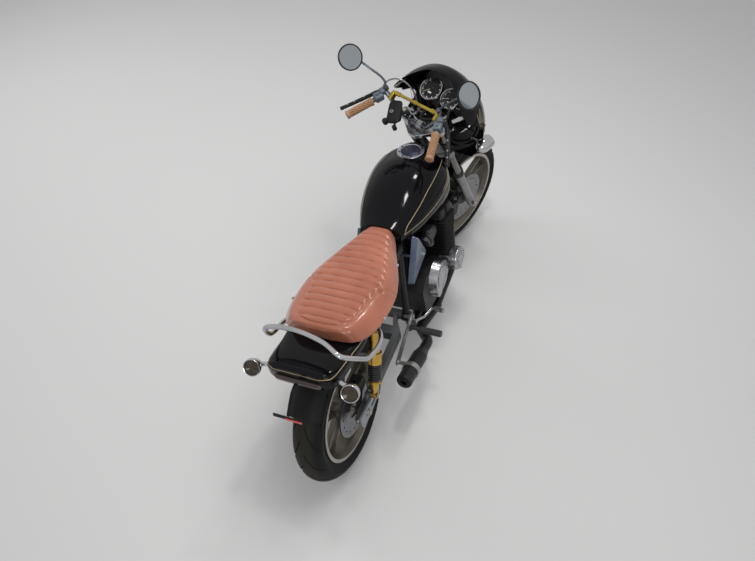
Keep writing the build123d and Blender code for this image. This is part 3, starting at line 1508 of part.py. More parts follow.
told("steering", FORKED, (0, 0, LOWER_YOKE_Z), (0, 0, 1))
told("front_wheel", FORKED, (fork_offset, 0, axle_up), (0, 1, 0))
told("rear_wheel", PARKED, (0, 0, REAR_TYRE_R), (0, 1, 0))
told("side_stand", PARKED, tuple(STAND_PIVOT), tuple(stand_axis))
told("exhaust_outlet", PARKED, MUFFLER_BACK, tuple(muffler_run.normalized()))
told("stand_foot", Location(), (foot_probe.X, foot_probe.Y, 0), (0, 0, -1))
print("swing", round(STAND_SWING, 2), "pitch", round(pitch, 5), "lift", round(-rear_low, 4))
print("shift", round(CENTRED.position.X, 4), round(CENTRED.position.Y, 4), "box", whole.min, whole.max)
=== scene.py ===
import math

import bmesh
import bpy
import numpy as np
from mathutils import Matrix, Vector
from mathutils.bvhtree import BVHTree


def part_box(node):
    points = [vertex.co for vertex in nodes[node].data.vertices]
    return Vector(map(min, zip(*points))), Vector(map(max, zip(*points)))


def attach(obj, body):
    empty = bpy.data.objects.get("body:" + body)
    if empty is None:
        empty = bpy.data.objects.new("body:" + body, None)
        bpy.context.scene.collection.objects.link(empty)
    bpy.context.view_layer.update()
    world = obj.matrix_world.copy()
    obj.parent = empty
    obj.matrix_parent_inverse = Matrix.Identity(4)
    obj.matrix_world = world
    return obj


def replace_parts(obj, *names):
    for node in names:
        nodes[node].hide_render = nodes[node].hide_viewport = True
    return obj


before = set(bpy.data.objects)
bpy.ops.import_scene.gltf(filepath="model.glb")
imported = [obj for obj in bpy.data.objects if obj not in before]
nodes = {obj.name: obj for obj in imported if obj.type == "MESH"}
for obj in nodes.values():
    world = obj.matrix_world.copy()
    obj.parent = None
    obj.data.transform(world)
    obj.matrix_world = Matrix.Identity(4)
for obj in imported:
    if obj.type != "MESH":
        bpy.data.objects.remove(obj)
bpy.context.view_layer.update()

# The stance: the motorcycle leans to its left on the side stand, with the bars turned to the right.
# Chassis points are given upright, in millimetres from the floor below the rear axle, X forward and Y left.
# Fork points are given along the steering axis, from where it meets the floor.
LEAN = math.radians(10.5)
RAKE = math.radians(26.0)
TURN = math.radians(21.0)
WHEELBASE = 1460.0
TRAIL = 95.0
REAR_AXLE_UP = 322.0


def turned(points, axis, angle):
    """Points turned about an axis through the origin by the right-hand rule."""
    return np.asarray(points, float) @ np.array(Matrix.Rotation(angle, 3, axis)).T


rear_low, rear_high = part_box("rear_tyre")
rear_axle_at = np.array((rear_low + rear_high) / 2)
upright_axle = turned([[0.0, 0.0, REAR_AXLE_UP / 1000]], "X", -LEAN)[0]


def parked(points):
    """Chassis points in mm to metres of the leaning motorcycle: turned about X, then moved to the rear axle."""
    return turned(np.asarray(points, float) / 1000, "X", -LEAN) + (rear_axle_at - upright_axle)


def along_fork(points):
    """Fork points in mm to metres: turned with the bars, laid back by the rake, then parked."""
    swung = turned(turned(points, "Z", -TURN), "Y", -RAKE)
    return parked(swung + np.array([WHEELBASE + TRAIL, 0.0, 0.0]))


def on_the_bars(points):
    """Upright points of pieces that turn with the bars: taken into the fork's frame, then along the fork."""
    return along_fork(turned(np.asarray(points, float) - [WHEELBASE + TRAIL, 0.0, 0.0], "Y", RAKE))


# The camera looks down over the tail from the right, as the photographer stood.
CAMERA_FROM_AXLE = (-1.3873, -0.7019, 2.5785)
LOOK_ROUND = math.radians(21.588)
LOOK_DOWN = math.radians(48.998)
ROLL = math.radians(1.577)
FOCAL_PIXELS = 706.3
IMAGE_WIDTH = 755

ahead = Vector((
    math.cos(LOOK_DOWN) * math.cos(LOOK_ROUND),
    math.cos(LOOK_DOWN) * math.sin(LOOK_ROUND),
    -math.sin(LOOK_DOWN),
))
level = ahead.cross(Vector((0, 0, 1))).normalized()
above = level.cross(ahead)
image_right = math.cos(ROLL) * level + math.sin(ROLL) * above
image_up = -math.sin(ROLL) * level + math.cos(ROLL) * above
camera_data = bpy.data.cameras.new("photographer")
camera_data.sensor_width = 36.0
camera_data.lens = FOCAL_PIXELS / IMAGE_WIDTH * 36.0
camera_data.clip_end = 60.0
camera = bpy.data.objects.new("photographer", camera_data)
place = Matrix((image_right, image_up, -ahead)).transposed().to_4x4()
place.translation = Vector(rear_axle_at) + Vector(CAMERA_FROM_AXLE)
camera.matrix_world = place
bpy.context.scene.collection.objects.link(camera)
bpy.context.scene.camera = camera

# The floor and the light: a plain pale floor, a pale surround for the camera and for reflections and a softer one for
# light, three large soft lamps, and two small ones for the highlights on tank and seat.
FLOOR_HALF = 9.0
FLOOR_COLOUR = (0.62, 0.61, 0.6, 1)
world = bpy.data.worlds.new("surround")
bpy.context.scene.world = world
world.use_nodes = True
world_nodes, world_links = world.node_tree.nodes, world.node_tree.links
world_nodes.clear()
seen = world_nodes.new("ShaderNodeLightPath")
pale = world_nodes.new("ShaderNodeBackground")
pale.inputs["Color"].default_value = (0.62, 0.62, 0.62, 1)
pale.inputs["Strength"].default_value = 1.0
soft = world_nodes.new("ShaderNodeBackground")
soft.inputs["Color"].default_value = (0.95, 0.97, 1.0, 1)
soft.inputs["Strength"].default_value = 0.45
either = world_nodes.new("ShaderNodeMixShader")
surround_out = world_nodes.new("ShaderNodeOutputWorld")
either_ray = seen.outputs["Is Camera Ray"]
for other_ray in ("Is Glossy Ray", "Is Transmission Ray"):
    also = world_nodes.new("ShaderNodeMath")
    also.operation = "MAXIMUM"
    world_links.new(either_ray, also.inputs[0])
    world_links.new(seen.outputs[other_ray], also.inputs[1])
    either_ray = also.outputs["Value"]
world_links.new(either_ray, either.inputs["Fac"])
world_links.new(soft.outputs["Background"], either.inputs[1])
world_links.new(pale.outputs["Background"], either.inputs[2])
world_links.new(either.outputs["Shader"], surround_out.inputs["Surface"])

floor_mesh = bpy.data.meshes.new("floor")
floor_corners = [(x * FLOOR_HALF, y * FLOOR_HALF, 0) for x, y in ((-1, -1), (1, -1), (1, 1), (-1, 1))]
floor_mesh.from_pydata(floor_corners, [], [(0, 1, 2, 3)])
floor = bpy.data.objects.new("floor", floor_mesh)
bpy.context.scene.collection.objects.link(floor)
floor_paint = bpy.data.materials.new("floor_paint")
floor_paint.use_nodes = True
floor_paint.node_tree.nodes["Principled BSDF"].inputs["Base Color"].default_value = FLOOR_COLOUR
floor_paint.node_tree.nodes["Principled BSDF"].inputs["Roughness"].default_value = 0.9
floor_mesh.materials.append(floor_paint)

LAMPS = (
    # name, place, aimed at, side of the square, power, seen in gloss
    ("roof_lamp", (0.2, -0.4, 4.2), (0.0, 0.0, 0.5), 2.2, 62.0, False),
    ("left_lamp", (0.8, 3.6, 2.6), (0.1, 0.0, 0.6), 1.8, 36.0, False),
    ("back_lamp", (-3.8, -1.8, 2.8), (0.0, 0.0, 0.6), 1.6, 36.0, True),
    ("near_tube", (0.15, -0.1, 4.0), (0.2, 0.0, 0.5), 0.3, 16.0, True),
    ("far_tube", (1.7, -0.15, 4.0), (0.2, 0.0, 0.5), 0.3, 16.0, True),
)
for name, spot, target, side, power, shines in LAMPS:
    lamp_data = bpy.data.lights.new(name, "AREA")
    lamp_data.size = side
    lamp_data.energy = power
    lamp = bpy.data.objects.new(name, lamp_data)
    lamp.location = spot
    lamp.visible_glossy = shines
    lamp.rotation_euler = (Vector(target) - Vector(spot)).to_track_quat("-Z", "Y").to_euler()
    bpy.context.scene.collection.objects.link(lamp)
bpy.context.scene.view_settings.view_transform = "Standard"


# Frame tubes, headers, side stand and lamp ears: welded steel tube in satin black paint, slightly uneven in gloss.
def finish(name, colour, shade, roughness, metallic=0.0, coat=0.0, patch=9.0, grain=220.0, bump=0.1, shine=0.5):
    """Colour goes between two tones with slow noise, and fine noise on Object coordinates gives gloss and bump."""
    made = bpy.data.materials.new(name)
    made.use_nodes = True
    tree, link = made.node_tree, made.node_tree.links.new
    shader = tree.nodes["Principled BSDF"]
    shader.inputs["Metallic"].default_value = metallic
    shader.inputs["Coat Weight"].default_value = coat
    shader.inputs["Coat Roughness"].default_value = 0.04
    shader.inputs["Specular IOR Level"].default_value = shine
    where = tree.nodes.new("ShaderNodeTexCoord")
    slow, fine = tree.nodes.new("ShaderNodeTexNoise"), tree.nodes.new("ShaderNodeTexNoise")
    for noise, scale, detail in ((slow, patch, 5.0), (fine, grain, 3.0)):
        noise.inputs["Scale"].default_value = scale
        noise.inputs["Detail"].default_value = detail
        link(where.outputs["Object"], noise.inputs["Vector"])
    tone = tree.nodes.new("ShaderNodeValToRGB")
    tone.color_ramp.elements[0].position = 0.35
    tone.color_ramp.elements[1].position = 0.68
    tone.color_ramp.elements[0].color = (*shade, 1)
    tone.color_ramp.elements[1].color = (*colour, 1)
    link(slow.outputs["Fac"], tone.inputs["Fac"])
    link(tone.outputs["Color"], shader.inputs["Base Color"])
    gloss = tree.nodes.new("ShaderNodeMapRange")
    gloss.inputs["To Min"].default_value = max(0.02, roughness - 0.07)
    gloss.inputs["To Max"].default_value = min(1.0, roughness + 0.07)
    link(fine.outputs["Fac"], gloss.inputs["Value"])
    link(gloss.outputs["Result"], shader.inputs["Roughness"])
    relief = tree.nodes.new("ShaderNodeBump")
    relief.inputs["Strength"].default_value = bump
    relief.inputs["Distance"].default_value = 0.0003
    link(fine.outputs["Fac"], relief.inputs["Height"])
    link(relief.outputs["Normal"], shader.inputs["Normal"])
    return made


def coat_nodes(made, *names):
    """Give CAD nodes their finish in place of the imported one."""
    for each in names:
        if each in nodes:
            nodes[each].data.materials.clear()
            nodes[each].data.materials.append(made)


frame_paint = finish("frame_paint", (0.014, 0.014, 0.015), (0.008, 0.008, 0.009), 0.38, shine=0.25)
coat_nodes(
    frame_paint, "frame_spine", "frame_cradle_left", "frame_cradle_right", "seat_frame", "side_stand",
    "lamp_ears", "exhaust_headers",
)

# Swingarm: two fabricated box-section arms in light grey paint, coloured a darker grey here as painted shade.
swingarm_painted_shade = finish("swingarm_painted_shade", (0.13, 0.135, 0.14), (0.08, 0.083, 0.086), 0.42, metallic=0.5)
coat_nodes(swingarm_painted_shade, "swingarm")

# Axles, sprocket and exhaust bracket: bare steel with an oily sheen.
bare_steel = finish("bare_steel", (0.5, 0.5, 0.5), (0.34, 0.33, 0.32), 0.36, metallic=1.0, patch=30.0)
coat_nodes(bare_steel, "rear_axle", "front_axle", "rear_sprocket", "muffler_hanger")

# Wheels: cast alloy with paired spokes, in a warm bronze-grey lacquer.
wheel_lacquer = finish("wheel_lacquer", (0.2, 0.18, 0.15), (0.13, 0.115, 0.092), 0.36, metallic=0.75, grain=400.0)
coat_nodes(wheel_lacquer, "rear_wheel", "front_wheel")

# Brake discs: drilled stainless rotors, turned finish. Calipers: dark grey castings.
disc_steel = finish("disc_steel", (0.24, 0.24, 0.25), (0.16, 0.16, 0.17), 0.3, metallic=1.0, patch=60.0)
coat_nodes(disc_steel, "rear_disc", "front_discs")
caliper_paint = finish(
    "caliper_paint", (0.02, 0.02, 0.022), (0.012, 0.012, 0.012), 0.45, grain=500.0, bump=0.3, shine=0.3,
)
coat_nodes(caliper_paint, "rear_caliper", "front_calipers")

# Engine: sand-cast cases, dark painted fins, and polished covers over the clutch and the ends of the crankshaft.
case_alloy = finish(
    "case_alloy", (0.055, 0.055, 0.058), (0.03, 0.03, 0.031), 0.5, metallic=0.8, grain=500.0, bump=0.5,
)
coat_nodes(case_alloy, "engine_cases")
fin_paint = finish(
    "fin_paint", (0.02, 0.02, 0.021), (0.01, 0.01, 0.01), 0.5, metallic=0.4, grain=500.0, bump=0.4, shine=0.3,
)
coat_nodes(fin_paint, "cylinder_block", "cylinder_head")
polished_cover = finish("polished_cover", (0.46, 0.47, 0.49), (0.32, 0.32, 0.33), 0.26, metallic=1.0, patch=24.0)
coat_nodes(polished_cover, "clutch_cover", "ignition_cover", "left_covers", "foot_controls", "top_yoke")
carburettor_alloy = finish(
    "carburettor_alloy", (0.12, 0.12, 0.125), (0.07, 0.07, 0.072), 0.42, metallic=0.9, grain=400.0,
)
coat_nodes(carburettor_alloy, "carburettors")

# Exhaust and bright trim: a short satin black silencer, and chromed steel for the small trim.
chrome = finish("chrome", (0.62, 0.62, 0.64), (0.5, 0.5, 0.51), 0.12, metallic=1.0, patch=5.0, bump=0.02)
coat_nodes(chrome, "headlamp")
silencer_paint = finish("silencer_paint", (0.016, 0.016, 0.016), (0.009, 0.009, 0.009), 0.4, grain=500.0, shine=0.3)
coat_nodes(silencer_paint, "muffler")

# Fork: polished sliders, hard-chromed tubes and a cast lower yoke.
slider_alloy = finish("slider_alloy", (0.3, 0.3, 0.3), (0.21, 0.21, 0.21), 0.3, metallic=1.0)
coat_nodes(slider_alloy, "fork_sliders", "lower_yoke")
fork_chrome = finish("fork_chrome", (0.2, 0.19, 0.17), (0.15, 0.14, 0.125), 0.18, metallic=1.0)
coat_nodes(fork_chrome, "fork_tubes")

# Bodywork: front mudguard in deep gloss black, side covers blue-black with a blue-grey painted sheen, airbox in matt
# plastic.
body_black = finish(
    "body_black", (0.003, 0.003, 0.004), (0.002, 0.002, 0.003), 0.1, coat=0.12, patch=3.0, bump=0.01, shine=0.12,
)
coat_nodes(body_black, "front_mudguard")
side_cover_paint_and_sheen = finish("side_cover_paint_and_sheen", (0.09, 0.115, 0.175), (0.06, 0.08, 0.125), 0.2, metallic=0.3, coat=0.3)
coat_nodes(side_cover_paint_and_sheen, "side_covers")
inner_plastic = finish(
    "inner_plastic", (0.012, 0.012, 0.013), (0.007, 0.007, 0.007), 0.6, grain=300.0, bump=0.3, shine=0.2,
)
coat_nodes(inner_plastic, "airbox")
cap_alloy = finish("cap_alloy", (0.6, 0.61, 0.68), (0.48, 0.49, 0.55), 0.3, metallic=1.0, patch=40.0)

# Shock bodies: gold anodised aluminium, turned.
gold_anodised = finish("gold_anodised", (0.75, 0.5, 0.12), (0.55, 0.34, 0.07), 0.28, metallic=1.0)
coat_nodes(gold_anodised, "rear_shocks")

# Footpegs: steel pegs under rubber.
peg_rubber = finish("peg_rubber", (0.03, 0.03, 0.032), (0.018, 0.018, 0.018), 0.6, grain=300.0, bump=0.3)
coat_nodes(peg_rubber, "footpegs")

# Front indicators: chromed bodies.
coat_nodes(chrome, "front_indicators")


# Tyres: black rubber on a round crown, worn brown-grey where they run. Long slanting grooves sweep from the middle
# to the shoulders. Each tyre replaces the plain solid.
def skin(name, grids, where, look, loop=False, smooth=35.0):
    """Grids of points (along, round) as one mesh: each closes round its second direction, and its open ends
    get one face over them, or the first direction closes too where loop is set. where is a stance and a body."""
    grids = grids if isinstance(grids, list) else [grids]
    faces, start = [], 0
    for grid in grids:
        rows, columns = grid.shape[:2]
        u, v = np.meshgrid(np.arange(rows if loop else rows - 1), np.arange(columns), indexing="ij")
        next_u, next_v = (u + 1) % rows, (v + 1) % columns
        quads = np.stack([u * columns + v, next_u * columns + v, next_u * columns + next_v, u * columns + next_v], -1)
        faces += (quads.reshape(-1, 4) + start).tolist()
        if not loop:
            faces += [list(range(first, first + columns)) for first in (start, start + (rows - 1) * columns)]
        start += rows * columns
    stance, body = where
    mesh = bpy.data.meshes.new(name)
    mesh.from_pydata(stance(np.concatenate([grid.reshape(-1, 3) for grid in grids])).tolist(), [], faces)
    whole = bmesh.new()
    whole.from_mesh(mesh)
    bmesh.ops.remove_doubles(whole, verts=whole.verts, dist=2e-6)
    bmesh.ops.dissolve_degenerate(whole, edges=whole.edges, dist=1e-6)
    bmesh.ops.recalc_face_normals(whole, faces=whole.faces)
    whole.to_mesh(mesh)
    whole.free()
    mesh.polygons.foreach_set("use_smooth", np.ones(len(mesh.polygons), bool))
    mesh.set_sharp_from_angle(angle=math.radians(smooth))
    mesh.materials.append(look)
    piece = bpy.data.objects.new(name, mesh)
    bpy.context.scene.collection.objects.link(piece)
    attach(piece, body)
    return piece


ON_CHASSIS = (parked, "chassis")
ON_FORK = (along_fork, "steering")
WITH_BARS = (on_the_bars, "steering")
ON_REAR_WHEEL = (parked, "rear_wheel")
ON_FRONT_WHEEL = (along_fork, "front_wheel")
FORK_OFFSET = 53.14
FRONT_AXLE_UP = 325.66
TYRES = (
    # node, where, centre, outer radius, width, bead radius, half width at the bead, grooves a side
    ("rear_tyre", ON_REAR_WHEEL, (0, 0, REAR_AXLE_UP), 322, 130, 222, 46, 16),
    ("front_tyre", ON_FRONT_WHEEL, (FORK_OFFSET, 0, FRONT_AXLE_UP), 316, 100, 240, 34, 18),
)
CROWN_SHARE = 0.52
WORN_BAND, WORN_FADE = 16.0, 12.0
GROOVE_DEEP = 6.0
GROOVE_WIDE = 5.5
tyre_rubber = finish(
    "tyre_rubber", (0.008, 0.008, 0.009), (0.005, 0.005, 0.005), 0.6, grain=260.0, bump=0.25, shine=0.15,
)
worn = tyre_rubber.node_tree.nodes.new("ShaderNodeAttribute")
worn.attribute_name = "worn"
dusty = tyre_rubber.node_tree.nodes.new("ShaderNodeMix")
dusty.data_type = "RGBA"
dusty.inputs[7].default_value = (0.02, 0.018, 0.014, 1)
tyre_shader = tyre_rubber.node_tree.nodes["Principled BSDF"]
tyre_rubber.node_tree.links.new(worn.outputs["Fac"], dusty.inputs[0])
tyre_rubber.node_tree.links.new(tyre_shader.inputs["Base Color"].links[0].from_socket, dusty.inputs[6])
tyre_rubber.node_tree.links.new(dusty.outputs[2], tyre_shader.inputs["Base Color"])
for node, where, centre, outer, wide, bead, bead_half, cuts in TYRES:
    crown = wide * CROWN_SHARE
    half = wide / 2
    shoulder = outer - crown + math.sqrt(crown**2 - half**2)
    across = np.linspace(-1, 1, 61) * math.asin(half / crown)
    wall = np.linspace(0, 1, 9)[:-1]
    section_y = np.concatenate([-bead_half - (half - bead_half) * wall, crown * np.sin(across)])
    section_y = np.concatenate([section_y, -section_y[:8][::-1]])
    section_r = np.concatenate([bead + (shoulder - bead) * wall, outer - crown + crown * np.cos(across)])
    section_r = np.concatenate([section_r, section_r[:8][::-1]])
    a, y = np.meshgrid(np.linspace(0, 2 * np.pi, 781)[:-1], section_y, indexing="ij")
    r = np.broadcast_to(section_r, a.shape)
    share = np.abs(y) / half
    phase = a * cuts / (2 * np.pi) + np.where(y > 0, 0.5, 0.0) - 1.3 * share**0.7
    off = np.abs((phase + 0.5) % 1.0 - 0.5) * 2 * np.pi * outer / cuts * 0.5
    cut = np.clip(1.5 - off / (GROOVE_WIDE / 2), 0, 1) * (share > 0.12) * (share < 0.93) * (r > shoulder - 1)
    r = r - GROOVE_DEEP * cut
    points = np.stack([centre[0] + r * np.cos(a), centre[1] + y, centre[2] + r * np.sin(a)], -1)
    tread = skin(node + "_tread", points, where, tyre_rubber, loop=True)
    spots = np.empty(len(tread.data.vertices) * 3)
    tread.data.vertices.foreach_get("co", spots)
    axle = where[0]([centre])[0]
    from_axle = np.linalg.norm(spots.reshape(-1, 3) - axle, axis=1) * 1000
    level = np.clip((from_axle - (outer - WORN_BAND)) / WORN_FADE, 0, 1)
    tread.data.attributes.new("worn", "FLOAT", "POINT").data.foreach_set("value", level.astype(np.float32))
    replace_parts(tread, node)

# Rim edges: the cast wheels' flanges are machined bright after lacquering.
machined = finish("machined", (0.42, 0.4, 0.36), (0.32, 0.3, 0.27), 0.25, metallic=1.0, patch=30.0)


def spun(profile, centre, axis, steps=48):
    """A profile of distances along an axis and radii round it, turned about that axis: centre + height × axis +
    radius × (cosine × side + sine × other side)."""
    height, radius = np.asarray(profile, float).T
    axis = np.asarray(axis, float) / np.linalg.norm(axis)
    side = np.cross(axis, (1.0, 0.0, 0.0) if abs(axis[0]) < 0.8 else (0.0, 1.0, 0.0))
    side /= np.linalg.norm(side)
    other = np.cross(axis, side)
    angle = np.linspace(0, 2 * np.pi, steps + 1)[:-1, None]
    ring = np.cos(angle) * side + np.sin(angle) * other
    return np.asarray(centre, float) + height[:, None, None] * axis + radius[:, None, None] * ring


for name, where, centre, bead, edge in (
    ("rear_rim_edges", ON_REAR_WHEEL, (0, 0, REAR_AXLE_UP), 222, 55),
    ("front_rim_edges", ON_FRONT_WHEEL, (FORK_OFFSET, 0, FRONT_AXLE_UP), 240, 43),
):
    lip = [
        (edge - 1, bead - 4), (edge + 0.6, bead - 4), (edge + 1.4, bead), (edge + 0.6, bead + 10),
        (edge - 1, bead + 10),
    ]
    rims = [spun([(way * h, r) for h, r in lip], centre, (0, 1, 0), 128) for way in (-1, 1)]
    skin(name, rims, where, machined, loop=True)


# Axle nuts and adjusters: plated hexagon nuts on washers at the ends of both axles and of the swingarm pivot.
def hex_bolt(centre, axis, across_flats, high, washer=1.35):
    """A washer, a hexagon with a bevelled top and nothing open: six-sided rings of radius flats / √3."""
    corner = across_flats / math.sqrt(3)
    nut = [(1.5, 0), (1.5, corner), (high - 1, corner), (high, corner * 0.88), (high, 0)]
    disc = [(0, 0), (0, corner * washer), (1.5, corner * washer), (1.6, 0)]
    return [spun(nut, centre, axis, 6), spun(disc, centre, axis, 24)]


PIVOT = (500.0, 372.0)
SHOCK_FOOT = (45.0, 392.0)
SHOCK_HEAD = (165.0, 690.0)
plated = finish("plated", (0.6, 0.58, 0.53), (0.42, 0.4, 0.36), 0.3, metallic=1.0, patch=60.0)
nuts = []
for way in (-1, 1):
    for (x, z), face, across_flats, high in (
        # place, distance from the middle plane, size, height
        ((0.0, REAR_AXLE_UP), 134, 24, 9), (PIVOT, 138, 22, 9), (SHOCK_FOOT, 166, 15, 7), (SHOCK_HEAD, 166, 15, 7),
    ):
        nuts += hex_bolt((x, way * face, z), (0, way, 0), across_flats, high)
    nuts += hex_bolt((-52, way * 108, REAR_AXLE_UP), (-1, 0, 0), 12, 8)
skin("chassis_nuts", nuts, ON_CHASSIS, plated)
FORK_HALF = 98.0
fork_nuts = []
for way in (-1, 1):
    fork_nuts += hex_bolt((FORK_OFFSET, way * 126, FRONT_AXLE_UP), (0, way, 0), 22, 8)
    fork_nuts += hex_bolt((FORK_OFFSET, way * FORK_HALF, 1082), (0, 0, 1), 20, 8)
skin("fork_nuts", fork_nuts, ON_FORK, plated)

# Chain: pressed steel side plates on pins, one pair every half inch, run round both sprockets. It replaces the
# plain loop.
CHAIN_PITCH = 15.875
CHAIN_Y = 81.0
PLATE_THICK = 1.6
ROLLER = ((-6.5, 4.6), (6.5, 4.6))
big_r, small_r = 95.5, 42.5
front_sprocket = np.array([600.0, 372.0])
rear_sprocket = np.array([0.0, REAR_AXLE_UP])
run = float(np.linalg.norm(front_sprocket - rear_sprocket))
tilt = math.atan2(*(front_sprocket - rear_sprocket)[::-1])
splay = math.asin((big_r - small_r) / run)
straight = math.sqrt(run**2 - (big_r - small_r) ** 2)
lengths = np.array([straight, small_r * (math.pi - 2 * splay), straight, big_r * (math.pi + 2 * splay)])
links = int(round(lengths.sum() / CHAIN_PITCH / 2)) * 2
marks = np.concatenate([[0], np.cumsum(lengths)])


def on_chain(s):
    """Point on the chain at a distance along it: top straight, round the front, bottom straight, round the back."""
    s = np.asarray(s, float) % marks[-1]
    top_angle, low_angle = tilt + math.pi / 2 - splay, tilt - math.pi / 2 + splay
    top_way = np.array([math.sin(top_angle), -math.cos(top_angle)])
    low_way = np.array([math.sin(low_angle), -math.cos(low_angle)])
    top_start = rear_sprocket + big_r * np.array([math.cos(top_angle), math.sin(top_angle)])
    low_start = front_sprocket + small_r * np.array([math.cos(low_angle), math.sin(low_angle)])
    front_turn = top_angle - (s - marks[1]) / small_r
    back_turn = low_angle - (s - marks[3]) / big_r
    choices = [
        top_start + (s - marks[0])[:, None] * top_way,
        front_sprocket + small_r * np.stack([np.cos(front_turn), np.sin(front_turn)], -1),
        low_start + (s - marks[2])[:, None] * low_way,
        rear_sprocket + big_r * np.stack([np.cos(back_turn), np.sin(back_turn)], -1),
    ]
    which = np.clip(np.searchsorted(marks, s, side="right") - 1, 0, 3)
    return np.choose(which[:, None], choices)


pins = on_chain(np.arange(links) * marks[-1] / links)
next_pins = np.roll(pins, -1, axis=0)
middle, half_link = (pins + next_pins) / 2, (next_pins - pins) / 2
square = np.stack([-half_link[:, 1], half_link[:, 0]], -1)
outline = np.array([
    (1.42, 0.3), (1.42, -0.3), (1, -0.66), (0, -0.42), (-1, -0.66), (-1.42, -0.3), (-1.42, 0.3), (-1, 0.66),
    (0, 0.42), (1, 0.66),
])
plates = middle[:, None] + outline[None, :, :1] * half_link[:, None] + outline[None, :, 1:] * square[:, None]
plate_grids = []
for link in range(links):
    gap = 5.0 if link % 2 else 7.0
    for side_y in (CHAIN_Y - gap, CHAIN_Y + gap):
        rim = np.stack([plates[link][:, 0], np.full(10, side_y - PLATE_THICK / 2), plates[link][:, 1]], -1)
        plate_grids.append(np.stack([rim, rim + (0, PLATE_THICK, 0)]))
    plate_grids.append(spun(ROLLER, (pins[link][0], CHAIN_Y, pins[link][1]), (0, 1, 0), 8))
chain_steel = finish("chain_steel", (0.3, 0.29, 0.27), (0.16, 0.15, 0.13), 0.42, metallic=1.0, patch=80.0)
chain_links = skin("chain_links", plate_grids, ON_CHASSIS, chain_steel)
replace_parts(chain_links, "drive_chain")

# Rear shocks: gold anodised bodies and collars, with a black spring wound round each lower half.
SHOCK_Y = 152.0
SHOCK_WAY = np.array([120.0, 0.0, 298.0]) / math.hypot(120, 298)
SPRING_R, WIRE_R, SPRING_TURNS = 24.5, 4.2, 6.5
SPRING_FROM, SPRING_LONG = 78.0, 70.0


def swept(path, radius, sides=12, loop=False):
    """A ring of a given radius carried along a path, square to it: path + radius × (cosine × side + sine × up)."""
    path = np.asarray(path, float)
    way = np.roll(path, -1, 0) - np.roll(path, 1, 0) if loop else np.gradient(path, axis=0)
    way /= np.linalg.norm(way, axis=1)[:, None]
    lead = np.eye(3)[np.argmin(np.abs(way).mean(0))]
    side = np.cross(way, lead)
    side /= np.linalg.norm(side, axis=1)[:, None]
    up = np.cross(side, way)
    angle = np.linspace(0, 2 * np.pi, sides + 1)[:-1, None]
    radius = np.broadcast_to(radius, len(path))[:, None, None]
    return path[:, None] + radius * (np.cos(angle) * side[:, None] + np.sin(angle) * up[:, None])


def drum(low, high, radius, centre, axis, steps):
    """A closed drum: radius between two heights along an axis."""
    return spun([(low, 0), (low, radius), (high, radius), (high, 0)], centre, axis, steps)


spring_black = finish("spring_black", (0.02, 0.02, 0.021), (0.012, 0.012, 0.012), 0.32, coat=0.4)
coils, collars = [], []
turn_angle = np.linspace(0, 2 * np.pi * SPRING_TURNS, 240)
ahead_of_shock = np.cross(SHOCK_WAY, (0, 1, 0))
for way in (-1, 1):
    foot = np.array([SHOCK_FOOT[0], way * SHOCK_Y, SHOCK_FOOT[1]])
    climb = foot + SHOCK_WAY * (SPRING_FROM + turn_angle / turn_angle[-1] * SPRING_LONG)[:, None]
    wound = np.cos(turn_angle)[:, None] * (0, 1, 0) + np.sin(turn_angle)[:, None] * ahead_of_shock
    coils.append(swept(climb + SPRING_R * wound, WIRE_R, 10))
    coils.append(drum(73, 150, 23.4, foot, SHOCK_WAY, 40))
    coils.append(drum(196.5, 204, 25, foot, SHOCK_WAY, 40))
    for low, high, r in ((154, 196, 28), (266, 288, 26), (62, 72, 26)):
        for at in np.arange(low + 4, high - 2, 6.0):
            collars.append(drum(at, at + 2.6, r + 0.9, foot, SHOCK_WAY, 40))
skin("shock_springs", coils, ON_CHASSIS, spring_black)
skin("shock_ridges", collars, ON_CHASSIS, gold_anodised)

# Engine details: plated hexagon screws round every cover and on the head, and a raised ring on the round covers.
SCREW_TURN = 0.3
screws = []
for centre, ring_r, count, face_y, way in (
    # middle of the cover, radius of its screws, how many, outer face, side
    ((745, 408), 78, 9, 166, -1), ((894, 392), 50, 3, 240, -1), ((880, 392), 50, 3, 234, 1),
    ((665, 390), 66, 8, 192, 1),
):
    for angle in np.linspace(0, 2 * np.pi, count + 1)[:-1] + SCREW_TURN:
        spot = (centre[0] + ring_r * math.cos(angle), way * face_y, centre[1] + ring_r * math.sin(angle))
        screws += hex_bolt(spot, (0, way, 0), 8, 5, 1.1)
HEAD_TILT = math.radians(12)
HEAD_UP = np.array([math.sin(HEAD_TILT), 0, math.cos(HEAD_TILT)])
HEAD_BACK = np.array([math.cos(HEAD_TILT), 0, -math.sin(HEAD_TILT)])
HEAD_FOOT, HEAD_TALL = np.array([880, 0, 450]), 191
for along_y in np.linspace(-150, 150, 6):
    for shift in (-64, -14, 14, 64):
        spot = HEAD_FOOT + (0, along_y, 0) + HEAD_UP * HEAD_TALL + HEAD_BACK * shift
        screws += hex_bolt(spot, HEAD_UP, 9, 7, 1.2)
skin("engine_screws", screws, ON_CHASSIS, plated)
rings = []
for centre, way, face, r, high, slope, wide in (
    # middle, side, outer face, outer radius, height of the ring, width of its slopes and of its flat
    ((894, 0, 392), -1, 241.5, 40, 2.0, 2, 4), ((880, 0, 392), 1, 235.5, 40, 2.0, 2, 4),
    ((745, 0, 408), -1, 201.5, 56, 2.5, 3, 7),
):
    top, foot = way * (face + high), way * (face + 0.3)
    inner = r - slope - wide
    ring = [(way * face, 0), (way * face, r), (top, r - slope), (top, inner), (foot, inner - slope), (foot, 0)]
    rings.append(spun(ring, centre, (0, 1, 0), 64))
skin("cover_rings", rings, ON_CHASSIS, polished_cover)

